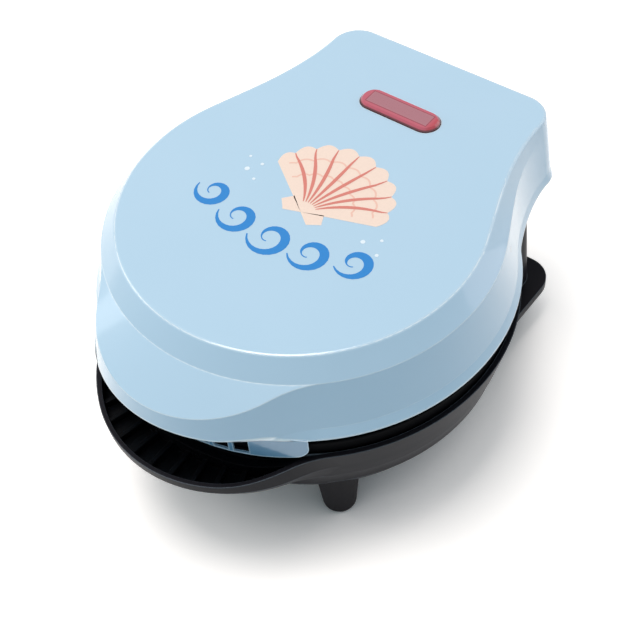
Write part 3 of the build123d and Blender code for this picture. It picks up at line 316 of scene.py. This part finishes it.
# Bezels: heat-resistant matt black mouldings. One closes the bowl and one closes the
# lid, and the cooking plates hang in them.
bezel_finish, bezel_shader, bezel_place = new_finish(
    "black_bezel_plastic", linear(8, 8, 10), 0.5, Specular_IOR_Level=0.04)
bezel_grain = bezel_place.noise(2200.0, 3.0)
feed(bezel_shader, 0.0003,
     Base_Color=bezel_grain.blend(linear(5, 5, 7), linear(11, 11, 13)),
     Roughness=0.44 + bezel_grain * 0.14,
     Height=bezel_grain * 0.00003)
dress(bezel_finish, "base_bezel", "lid_bezel")

# Cooking plates: two aluminium castings, screwed to the bezels from behind, under a
# sprayed black non-stick coat with fine pale specks.
plate_finish, plate_shader, plate_place = new_finish("non_stick_plate", linear(33, 33, 36), 0.42)
plate_specks = plate_place.noise(3800.0, 1.0).math("GREATER_THAN", 0.68)
plate_spray = plate_place.noise(1500.0, 3.0)
feed(plate_shader,
     Base_Color=plate_specks.blend(linear(31, 31, 34), linear(78, 78, 82)),
     Roughness=0.34 + plate_spray * 0.18,
     Height=plate_spray * 0.00003)
dress(plate_finish, "lower_plate", "upper_plate")

# Heaters: sheathed tubes of annealed steel, bent to a ring and pressed into the plates'
# backs. The heat colours them straw and blue in places.
tube_finish, tube_shader, tube_place = new_finish("heater_sheath", linear(128, 124, 120), 0.42, 0.9)
tube_heat = tube_place.noise(45.0, 3.0)
feed(tube_shader,
     Base_Color=tube_heat.node("ShaderNodeValToRGB", {"stops": [
         (0.35, linear(126, 124, 122)), (0.5, linear(138, 118, 92)), (0.65, linear(96, 100, 118))]},
         {"Fac": tube_heat}),
     Roughness=0.34 + tube_place.noise(1800.0) * 0.2)
dress(tube_finish, "lower_element", "upper_element")

# Beads and terminal block: unglazed white ceramic, pressed and fired. The beads close
# the heaters' ends, and the block takes the supply wires.
ceramic_finish, ceramic_shader, ceramic_place = new_finish("white_ceramic", linear(232, 228, 216), 0.68)
ceramic_pits = ceramic_place.noise(2400.0, 3.0)
feed(ceramic_shader,
     Base_Color=ceramic_pits.blend(linear(224, 219, 206), linear(240, 237, 228)),
     Height=ceramic_pits * 0.00004)
dress(ceramic_finish, "lower_seals", "upper_seals", "terminal_block")

# Terminals: plated brass pins with flat blades, stamped from strip, which stand in the
# heaters' beads.
blade_finish, blade_shader, blade_place = new_finish("plated_blade", linear(196, 184, 140), 0.3, 1.0)
feed(blade_shader,
     Base_Color=blade_place.noise(700.0).blend(linear(176, 160, 112), linear(212, 206, 178)),
     Roughness=0.24 + blade_place.noise(1600.0) * 0.16)
dress(blade_finish, "lower_terminals", "upper_terminals")

# Heat shields: spun bright aluminium sheet, one behind each cooking plate. The tool
# leaves fine rings on it.
shield_finish, shield_shader, shield_place = new_finish("spun_sheet", linear(212, 212, 211), 0.3, 1.0)
shield_rings = shield_place.node(
    "ShaderNodeTexWave", {"wave_type": "RINGS", "rings_direction": "Z"},
    {"Vector": shield_place, "Scale": 700.0, "Distortion": 1.2, "Detail": 2.0})
feed(shield_shader,
     Roughness=0.22 + shield_rings * 0.12,
     Height=shield_rings * 0.00001)
dress(shield_finish, "lower_reflector", "upper_reflector")

# Clips and bracket: bent zinc-plated spring strip, held by small screws. The screws
# and the hinge pins are plated steel.
strip_finish, strip_shader, strip_place = new_finish("plated_strip", linear(176, 178, 178), 0.35, 1.0)
strip_marks = strip_place.noise(1300.0, 3.0)
feed(strip_shader,
     Base_Color=strip_marks.blend(linear(160, 162, 164), linear(190, 192, 188)),
     Roughness=0.28 + strip_marks * 0.18)
dress(strip_finish, "lower_clips", "upper_clips", "thermostat_bracket")

screw_finish, screw_shader, screw_place = new_finish("plated_screw", linear(168, 168, 164), 0.32, 1.0)
screw_marks = screw_place.noise(2600.0, 2.0)
feed(screw_shader,
     Base_Color=screw_marks.blend(linear(148, 150, 152), linear(186, 184, 174)),
     Roughness=0.24 + screw_marks * 0.2)
dress(screw_finish, "lower_clip_screws", "lower_plate_screws", "upper_clip_screws", "upper_plate_screws",
      "thermostat_screws", "lid_screws", "base_screws", "hinge_pins")

# Thermostat: a disc in a dark phenolic body, held against the lower plate's back by
# its bracket.
stat_finish, stat_shader, stat_place = new_finish("thermostat_body", linear(58, 42, 34), 0.45)
stat_marks = stat_place.noise(1200.0, 3.0)
feed(stat_shader,
     Base_Color=stat_marks.blend(linear(50, 36, 29), linear(70, 52, 42)),
     Roughness=0.38 + stat_marks * 0.15)
dress(stat_finish, "thermostat")

# Thermal fuse: a small plated can with two leads, inside a woven glass sleeve that
# lies on the lower plate's back.
can_finish, can_shader, can_place = new_finish("fuse_can", linear(188, 176, 138), 0.3, 1.0)
feed(can_shader, Roughness=0.24 + can_place.noise(1500.0) * 0.16)
dress(can_finish, "thermal_fuse")

sleeve_finish, sleeve_shader, sleeve_place = new_finish("woven_sleeve", linear(226, 222, 208), 0.8)
sleeve_weave = sleeve_place.node(
    "ShaderNodeTexWave", {"bands_direction": "X"},
    {"Vector": sleeve_place, "Scale": 420.0, "Distortion": 0.6})
feed(sleeve_shader,
     Base_Color=sleeve_weave.blend(linear(200, 194, 178), linear(236, 232, 220)),
     Height=sleeve_weave * 0.0001)
dress(sleeve_finish, "fuse_sleeve")

# Wires inside the base and the lid, in pale silicone, and the heavier black rubber
# leads between them, which meet at the hinge.
wire_finish, wire_shader, wire_place = new_finish("wire_silicone", linear(206, 200, 190), 0.5)
wire_cloud = wire_place.noise(500.0)
feed(wire_shader,
     Base_Color=wire_cloud.blend(linear(196, 188, 176), linear(216, 212, 204)),
     Roughness=0.42 + wire_cloud * 0.14)
dress(wire_finish, "base_wires", "lid_wires")

lead_finish, lead_shader, lead_place = new_finish("lead_rubber", linear(30, 31, 33), 0.5)
lead_cloud = lead_place.noise(700.0, 3.0)
feed(lead_shader,
     Base_Color=lead_cloud.blend(linear(24, 25, 27), linear(42, 43, 46)),
     Roughness=0.42 + lead_cloud * 0.16)
dress(lead_finish, "base_lead", "lid_lead")

# Lid cover: one glossy light blue moulding with a very slight ripple, with a painted highlight along its
# edges and its lower rim. Its front edge arches up over the finger grip, given here as
# heights in millimetres at steps across. Each rear post inside it ends at the wall.
ARCH_ACROSS = (0.0, 9.4, 12.8, 16.1, 19.2, 21.3, 24.5, 27.5, 30.5, 33.8, 36.9, 39.2, 40.4)
ARCH_HEIGHTS = (62.6, 62.5, 62.3, 62.1, 61.9, 61.8, 61.8, 61.7, 61.0, 59.0, 57.7, 57.0, 56.9)
ARCH_Y = -0.035
WALL_FOOT_R = 0.06475
MERGE_FOOT_R = 0.06375
MERGE_X = 0.033
POST = Vector((0.0500, 0.0266))
POST_R = 0.0030
POST_TOP = 0.0710
POST_STARTS = Vector((0.0530, 0.02654))
POST_ENDS = Vector((0.05181, 0.0290))
HAIR = 0.00002
FACING_CHANGED = 0.9


def arch_height(across):
    """The lower edge's height in metres at this distance from the middle."""
    mm = min(abs(across) * 1000, ARCH_ACROSS[-1])
    step = max(i for i, stop in enumerate(ARCH_ACROSS[:-1]) if mm >= stop)
    share = (mm - ARCH_ACROSS[step]) / (ARCH_ACROSS[step + 1] - ARCH_ACROSS[step])
    return (ARCH_HEIGHTS[step] + share * (ARCH_HEIGHTS[step + 1] - ARCH_HEIGHTS[step])) / 1000


def cover_foot(spot):
    """The height of the cover's lower edge below or above a point of the cover."""
    return arch_height(spot.x if spot.y < ARCH_Y else ARCH_ACROSS[-1])


def raise_arch(spot):
    """Lift a point of the outer wall that is lower than the arch."""
    foot_r = WALL_FOOT_R if abs(spot.x) < MERGE_X else MERGE_FOOT_R
    in_arch = spot.y < ARCH_Y and abs(spot.x) * 1000 < ARCH_ACROSS[-1]
    if in_arch and math.hypot(spot.x, spot.y) > foot_r:
        spot.z = max(spot.z, arch_height(spot.x))


def trim_post(spot):
    """Bring a point of a rear post's top that is beyond the wall back to the wall's line."""
    wall_line = (POST_ENDS - POST_STARTS).normalized()
    beside = Vector((abs(spot.x), spot.y))
    from_start = beside - POST_STARTS
    beyond_wall = from_start.x * -wall_line.y + from_start.y * wall_line.x < 0
    on_rim = abs(spot.z - POST_TOP) < HAIR and abs((beside - POST).length - POST_R) < HAIR
    if on_rim and beyond_wall:
        flat = POST_STARTS + wall_line * from_start.dot(wall_line)
        spot.x = math.copysign(flat.x, spot.x)
        spot.y = flat.y


def store_feet(mesh, foot_of):
    """Store the height of a moulding's lower edge on its vertices, worked out from their places."""
    feet = mesh.attributes.new("foot_height", "FLOAT", "POINT")
    feet.data.foreach_set("value", [foot_of(vertex.co) for vertex in mesh.vertices])


def foot_line(place, reach):
    """1 along the stored lower edge, fading to 0 beyond this reach in metres."""
    height = place.node("ShaderNodeAttribute", {"attribute_name": "foot_height"}, {}, "Fac")
    return (place.part("Z") - height).math("ABSOLUTE").fade(reach * 1.6, reach * 0.6)


cover_mesh = nodes["lid_shell"].data.copy()
cover_mesh.name = "lid_cover_skin"
corner_normals = [Vector(corner.vector) for corner in cover_mesh.corner_normals]
moved = set()
for vertex in cover_mesh.vertices:
    before = vertex.co.copy()
    raise_arch(vertex.co)
    trim_post(vertex.co)
    if (vertex.co - before).length > HAIR / 2:
        moved.add(vertex.index)
for polygon in cover_mesh.polygons:
    if moved.intersection(polygon.vertices):
        facing = polygon.normal.copy()
        for corner in polygon.loop_indices:
            if corner_normals[corner].dot(facing) < FACING_CHANGED:
                corner_normals[corner] = facing
cover_mesh.normals_split_custom_set(corner_normals)
store_feet(cover_mesh, cover_foot)

# The painted highlight line along the edges is left out low down at the front, where
# the visor's wall runs into the round wall.
LID_EDGE_REACH = 0.0005
LID_HIGHLIGHT_SHARE = 0.7
LID_RIM_REACH = 0.0004
RIM_HIGHLIGHT_SHARE = 0.85
MERGE_INNER = (0.0285, 0.0290)
MERGE_OUTER = (0.0410, 0.0405)
MERGE_LEVEL = (0.0606, 0.06027)
MERGE_FRONT = (-0.0460, -0.0465)
lid_finish, lid_shader, lid_place = new_finish(
    "blue_lid_plastic", linear(183, 211, 230), 0.26, Coat_Weight=0.7, Coat_Roughness=0.07)
lid_cloud = lid_place.noise(38.0, 2.0)
lid_ripple = lid_place.noise(160.0, 2.0)
far_across = lid_place.part("X").math("ABSOLUTE")
near_merge = far_across.fade(*MERGE_INNER) * far_across.fade(*MERGE_OUTER)
low_front = lid_place.part("Z").fade(*MERGE_LEVEL) * lid_place.part("Y").fade(*MERGE_FRONT)
# Painted highlight: a pale line along the cover's edges and, from the stored foot height, along its lower
# rim.
lid_edge_highlight = edge_line(lid_place, LID_EDGE_REACH) * (1 - near_merge * low_front) * LID_HIGHLIGHT_SHARE
lid_rim_highlight = foot_line(lid_place, LID_RIM_REACH) * RIM_HIGHLIGHT_SHARE
lid_colour = lid_cloud.blend(linear(181, 210, 229), linear(185, 212, 231))
feed(lid_shader, LID_EDGE_REACH,
     Base_Color=lid_edge_highlight.math("MAXIMUM", lid_rim_highlight).blend(lid_colour, linear(246, 251, 253)),
     Roughness=0.22 + lid_cloud * 0.06,
     Height=lid_ripple * 0.000008)
cover_mesh.materials.clear()
cover_mesh.materials.append(lid_finish)
lid_cover = bpy.data.objects.new("lid_cover_skin", cover_mesh)
bpy.context.scene.collection.objects.link(lid_cover)
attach(lid_cover, "lid")
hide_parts("lid_shell")

# Finger grip: a thin curved strip that hangs under the lid's front edge and bows out a
# little in the middle. Its blue is painted deeper than the lid's, as painted shade under the
# lid's edge, and a painted highlight runs along its edges and its foot. It is moulded in
# one piece, with upright bars between its windows and rounded ends. Places along it are degrees from the
# front.
grip_low, grip_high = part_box("finger_grip")
GRIP_OUTER_R = 0.0639
GRIP_BOW = 0.0010
GRIP_THICK = 0.0007
GRIP_LOW = grip_low[2] - 0.0006
GRIP_TOP = grip_high[2]
GRIP_TUCK = 0.0004
GRIP_HALF = 37.8
GRIP_CORNER = 0.0036
GRIP_RAIL = 0.0005
GRIP_EDGE_R = 0.00014
GRIP_EDGE_REACH = 0.0005
GRIP_HIGHLIGHT_SHARE = 0.9
GRIP_RIM_REACH = 0.0003
CORNER_STEPS = 8
PLAIN_STEP = 2.0
PLAIN_COUNT = 5
WINDOW_COUNT = 9
WINDOW_STEP = 5.3
WINDOW_HALF = 2.0
WINDOW_MARGIN = 0.5
corner_turn = math.degrees(GRIP_CORNER / GRIP_OUTER_R)
rail_share = GRIP_RAIL / (GRIP_TOP - GRIP_LOW)
window_middles = [WINDOW_STEP * (i - (WINDOW_COUNT - 1) / 2) for i in range(WINDOW_COUNT)]
solid_from = window_middles[-1] + WINDOW_HALF + WINDOW_MARGIN
round_stops = [GRIP_HALF - corner_turn * (1 - math.cos(math.pi / 2 * i / CORNER_STEPS))
               for i in range(CORNER_STEPS + 1)]
plain_stops = [GRIP_HALF - corner_turn - PLAIN_STEP * i for i in range(1, PLAIN_COUNT + 1)]
window_stops = [middle + side * WINDOW_HALF for middle in window_middles for side in (-1, 1)]
end_stops = round_stops + plain_stops
grip_stops = sorted([-stop for stop in end_stops] + window_stops + end_stops)


def grip_foot(stop):
    """The height of the strip's lower edge, which curves up at both ends."""
    short = max(GRIP_CORNER - math.radians(GRIP_HALF - abs(stop)) * GRIP_OUTER_R, 0.0)
    return GRIP_LOW + GRIP_CORNER - math.sqrt(max(GRIP_CORNER ** 2 - short ** 2, 0.0))


def grip_top(stop, radius):
    """The height of its upper edge, which is tucked behind the cover beside the windows."""
    if abs(stop) <= solid_from:
        return GRIP_TOP
    return max(GRIP_TOP, arch_height(radius * math.sin(math.radians(stop))) + GRIP_TUCK)


grip_form = bmesh.new()
grip_knots = []
for stop in grip_stops:
    angle = math.radians(stop - 90)
    outer = GRIP_OUTER_R + GRIP_BOW * (1 - (stop / GRIP_HALF) ** 2)
    foot = grip_foot(stop)
    top = grip_top(stop, outer)
    heights = [foot, foot + (GRIP_TOP - foot) * rail_share, top - GRIP_RAIL, top]
    grip_knots.append([[
        grip_form.verts.new((radius * math.cos(angle), radius * math.sin(angle), height))
        for radius in (outer, outer - GRIP_THICK)] for height in heights])
kept = set()
for column in range(len(grip_stops) - 1):
    middle = (grip_stops[column] + grip_stops[column + 1]) / 2
    open_here = any(abs(middle - window) < WINDOW_HALF for window in window_middles)
    kept.update((column, row) for row in range(3) if row != 1 or not open_here)
for column, row in sorted(kept):
    near = [grip_knots[column][row], grip_knots[column + 1][row],
            grip_knots[column + 1][row + 1], grip_knots[column][row + 1]]
    for layer in (0, 1):
        grip_form.faces.new([knot[layer] for knot in near])
    neighbours = ((column, row - 1), (column + 1, row), (column, row + 1), (column - 1, row))
    for side, neighbour in enumerate(neighbours):
        if neighbour not in kept:
            start, end = near[side], near[(side + 1) % 4]
            grip_form.faces.new([start[0], end[0], end[1], start[1]])
bmesh.ops.recalc_face_normals(grip_form, faces=grip_form.faces)
grip_mesh = bpy.data.meshes.new("grip_strip")
grip_form.to_mesh(grip_mesh)
grip_form.free()
store_feet(grip_mesh, lambda spot: grip_foot(math.degrees(math.atan2(spot.y, spot.x)) + 90))
grip_strip = bpy.data.objects.new("grip_strip", grip_mesh)
bpy.context.scene.collection.objects.link(grip_strip)
grip_round = grip_strip.modifiers.new("round_edges", "BEVEL")
grip_round.width = GRIP_EDGE_R
grip_round.segments = 2
grip_round.limit_method = "ANGLE"
# The grip's deeper blue is painted shade from the lid's edge above it.
grip_finish, grip_shader, grip_place = new_finish(
    "shaded_blue_grip_plastic", linear(131, 168, 195), 0.26, Coat_Weight=0.7, Coat_Roughness=0.07)
grip_cloud = grip_place.noise(90.0, 2.0)
# Painted highlight: a pale line along the grip's edges and its foot.
grip_edge_highlight = edge_line(grip_place, GRIP_EDGE_REACH) * GRIP_HIGHLIGHT_SHARE
grip_rim_highlight = foot_line(grip_place, GRIP_RIM_REACH) * RIM_HIGHLIGHT_SHARE
grip_shade_colour = grip_cloud.blend(linear(128, 166, 193), linear(134, 170, 197))
feed(grip_shader,
     Base_Color=grip_edge_highlight.math("MAXIMUM", grip_rim_highlight).blend(grip_shade_colour, linear(232, 243, 250)),
     Roughness=0.22 + grip_cloud * 0.06)
grip_mesh.materials.append(grip_finish)
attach(grip_strip, "lid")
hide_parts("finger_grip")

# Print on the lid: five colours of pad-printed ink, a few hundredths of a millimetre
# thick. A scallop shell stands in the middle of the lid, with a row of curling waves
# before it and drops of spray between them.
lid_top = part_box("lid_shell")[1][2]
INK_Z = lid_top + 0.00003
INK_STEP = 0.00002


def ink(name, colour, layer, loops):
    """Lay flat shapes of one ink on the lid: each loop is a list of (x, y) in millimetres."""
    mesh = bpy.data.meshes.new(name)
    shapes = bmesh.new()
    for loop in loops:
        corners = [shapes.verts.new((x / 1000, y / 1000, INK_Z + layer * INK_STEP)) for x, y in loop]
        shapes.faces.new(corners)
    for face in shapes.faces:
        face.normal_update()
        if face.normal.z < 0:
            face.normal_flip()
    shapes.to_mesh(mesh)
    shapes.free()
    piece = bpy.data.objects.new(name, mesh)
    bpy.context.scene.collection.objects.link(piece)
    finish, shader, place = new_finish(name + "_ink", colour, 0.34)
    speckle = place.noise(1400.0, 2.0)
    dark = tuple(0.93 * channel for channel in colour)
    feed(shader, Base_Color=speckle.blend(dark, colour), Roughness=0.30 + speckle * 0.1)
    mesh.materials.append(finish)
    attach(piece, "lid")


def brush(points, widths):
    """Outline a stroke that follows points with a width at each, as quads."""
    left, right = [], []
    for index, (x, y) in enumerate(points):
        before = points[max(index - 1, 0)]
        after = points[min(index + 1, len(points) - 1)]
        run = math.hypot(after[0] - before[0], after[1] - before[1])
        across = (-(after[1] - before[1]) / run, (after[0] - before[0]) / run)
        half = widths[index] / 2
        left.append((x + across[0] * half, y + across[1] * half))
        right.append((x - across[0] * half, y - across[1] * half))
    return [[left[i], left[i + 1], right[i + 1], right[i]] for i in range(len(points) - 1)]


# Shell: a pale fan with a scalloped edge and two ears at its foot, with darker ribs
# between the lobes and two faint growth rings across them. Angles are in degrees from
# its middle line, and reaches are shares of its radius.
SHELL_FOOT = (1.0, -2.5)
SHELL_R = 30.0
SHELL_HALF = 62.0
SHELL_LOBES = 9
SHELL_TURN = -8.0
LOBE_STEPS = 10
ROOT_REACH = 0.02
EAR_CORNERS = ((84, 0.27), (56, 0.24), (0, ROOT_REACH), (112, 0.17))
RIB_STARTS = 0.16
RIB_STEPS = 12
RIB_THIN = 0.25
RIB_SWELL = 0.85
RING_REACHES = (0.56, 0.78)
RING_WIDTH = 0.55
RING_SHORT = 6


def shell_point(degrees_off, reach):
    """A point of the shell at an angle from its middle line and a share of its radius."""
    angle = math.radians(90 + SHELL_TURN + degrees_off)
    distance = SHELL_R * reach
    return (SHELL_FOOT[0] + distance * math.cos(angle), SHELL_FOOT[1] + distance * math.sin(angle))


def shell_edge(degrees_off):
    """The share of the radius that the scalloped edge reaches at this angle."""
    share = (degrees_off + SHELL_HALF) / (2 * SHELL_HALF)
    wide = 1.0 - 0.20 * abs(2 * share - 1) ** 2.2
    return wide * (0.94 + 0.06 * abs(math.sin(math.pi * SHELL_LOBES * share)))


def evenly(low, high, count):
    """The ends of this many equal steps from low to high."""
    return [low + (high - low) * i / count for i in range(count + 1)]


fan_angles = evenly(-SHELL_HALF, SHELL_HALF, SHELL_LOBES * LOBE_STEPS)
fan = [shell_point(0, ROOT_REACH)] + [shell_point(angle, shell_edge(angle)) for angle in fan_angles]
ears = [[shell_point(side * turned, reach) for turned, reach in EAR_CORNERS] for side in (-1, 1)]
ink("shell_print", linear(255, 226, 208), 0, [fan] + ears)

rib_widths = [RIB_THIN + RIB_SWELL * math.sin(math.pi * i / RIB_STEPS) ** 0.8 for i in range(RIB_STEPS + 1)]
rib_loops = []
for angle in evenly(-SHELL_HALF, SHELL_HALF, SHELL_LOBES)[1:-1]:
    reaches = evenly(RIB_STARTS, shell_edge(angle), RIB_STEPS)
    rib = [shell_point(angle * (0.55 + 0.45 * min(1, reach * 1.25)), reach) for reach in reaches]
    rib_loops += brush(rib, rib_widths)
ink("shell_rib_print", linear(226, 132, 118), 2, rib_loops)

ring_loops = []
for ring in RING_REACHES:
    band = [shell_point(angle, ring * (0.3 + 0.7 * shell_edge(angle)))
            for angle in fan_angles[RING_SHORT:-RING_SHORT]]
    ring_loops += brush(band, [RING_WIDTH] * len(band))
ink("shell_ring_print", linear(250, 200, 180), 1, ring_loops)

# Waves: five curls on a low arc in front of the shell, each a stroke of blue ink that
# swells and rolls over. The outer ones are smaller.
WAVE_ARC_R = 62.0
WAVE_ARC_Y = 47.5
WAVE_TURN = 12.0
WAVE_SIZE = 6.4
WAVE_SHRINK = 0.5
CURL_STEPS = 28
CURL_STARTS = -160
CURL_TURN = 430
CURL_THIN = 0.35
CURL_SWELL = 2.9
wave_loops = []
for wave in range(-2, 3):
    lean = WAVE_TURN * wave
    foot_x = WAVE_ARC_R * math.sin(math.radians(lean))
    foot_y = WAVE_ARC_Y - WAVE_ARC_R * math.cos(math.radians(lean))
    size = WAVE_SIZE - WAVE_SHRINK * abs(wave)
    curl = []
    swell = []
    for share in evenly(0, 1, CURL_STEPS):
        radius = size * (1.05 - 0.80 * share)
        angle = math.radians(CURL_STARTS + CURL_TURN * share + lean)
        curl.append((foot_x + radius * math.cos(angle), foot_y + radius * math.sin(angle)))
        hump = math.sin(math.pi * min(1, share * 1.18)) ** 1.2
        swell.append(CURL_THIN + CURL_SWELL * hump * (1 - 0.45 * share))
    wave_loops += brush(curl, swell)
ink("wave_print", linear(36, 134, 208), 0, wave_loops)

# Spray: small white drops at both ends of the row of waves, each with its place and
# its radius in millimetres.
DROPS = ((-23.0, 3.5, 0.8), (-20.4, 7.4, 0.55), (-25.5, 8.2, 0.45), (-18.6, 1.2, 0.5),
         (22.5, -1.4, 0.7), (26.6, 1.8, 0.5), (28.6, -3.4, 0.55))
DROP_SIDES = 14
drop_turns = [math.tau * i / DROP_SIDES for i in range(DROP_SIDES)]
drop_loops = [[(x + radius * math.cos(turn), y + radius * math.sin(turn)) for turn in drop_turns]
              for x, y, radius in DROPS]
ink("spray_print", linear(240, 247, 252), 0, drop_loops)

# Indicator: a clear red window with a bevelled rim over a frosted diffuser, whose
# edge shows as a thin dark line. The rim is dark where it dips into the lid.
lens_low, lens_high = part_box("indicator_lens")
LENS_FOOT = 0.0015
lens_y = (lens_low[1] + lens_high[1]) / 2
window_half = (lens_high[0] - lens_low[0]) / 2 - LENS_FOOT
window_r = (lens_high[1] - lens_low[1]) / 2 - LENS_FOOT
DIFFUSER_SHORT = 0.0030
DIFFUSER_WIDE = 0.0024
RIM_STARTS = 0.00022
RIM_ENDS = 0.00044
FRAME_GAP = 0.00016
FRAME_SOFT = 0.00019
FROST_SOFT = 0.00011
DEEP_END = 0.0014
DEEP_RED = linear(112, 22, 38)
DARK_RIM = linear(96, 20, 34)
RIM_PINK = linear(196, 78, 98)
FROSTED = linear(170, 104, 114)
lens_finish, lens_shader, lens_place = new_finish(
    "red_window", linear(196, 84, 98), 0.14, Coat_Weight=0.6, Coat_Roughness=0.05)
along = lens_place.part("X")
across = lens_place.part("Y") - lens_y
diffuser_half = window_half - DIFFUSER_SHORT
beyond = (along.math("ABSOLUTE") - (window_half - window_r)).math("MAXIMUM", 0.0)
inset = window_r - (beyond * beyond + across * across).math("SQRT")
rim = inset.fade(RIM_ENDS, RIM_STARTS)
box_gap = (along.math("ABSOLUTE") - diffuser_half).math("MAXIMUM", across.math("ABSOLUTE") - DIFFUSER_WIDE)
frost = box_gap.fade(0.0, -FROST_SOFT)
frame_line = (box_gap - FRAME_GAP).math("ABSOLUTE").fade(FRAME_SOFT, 0.0)
grit = lens_place.noise(2400.0, 2.0)
deep_end = along.fade(diffuser_half, diffuser_half + DEEP_END)
window_tint = frost.blend(deep_end.blend(RIM_PINK, linear(190, 48, 66)), FROSTED)
feed(lens_shader,
     Base_Color=rim.blend(frame_line.blend(window_tint, DEEP_RED), DARK_RIM),
     Roughness=0.10 + frost * grit * 0.5,
     Height=frost * grit * 0.00006)
dress(lens_finish, "indicator_lens")

# Lamp behind the window: a small glass tube in a white moulded holder, with a lacquered
# resistor that carries coloured bands.
lamp_finish, lamp_shader, lamp_place = new_finish(
    "lamp_glass", linear(236, 190, 150), 0.08, Transmission_Weight=0.7)
feed(lamp_shader, Roughness=0.05 + lamp_place.noise(600.0) * 0.06)
dress(lamp_finish, "indicator_lamp")

holder_finish, holder_shader, holder_place = new_finish("white_holder", linear(226, 225, 220), 0.45)
feed(holder_shader, Roughness=0.38 + holder_place.noise(900.0) * 0.14)
dress(holder_finish, "lamp_holder")

resistor_finish, resistor_shader, resistor_place = new_finish(
    "resistor_lacquer", linear(206, 178, 128), 0.35)
BANDS_PER_METRE = 1100.0
resistor_bands = (resistor_place.part("X") * BANDS_PER_METRE).math("FRACT").math("GREATER_THAN", 0.72)
feed(resistor_shader, Base_Color=resistor_bands.blend(linear(206, 178, 128), linear(120, 60, 40)))
dress(resistor_finish, "lamp_resistor")
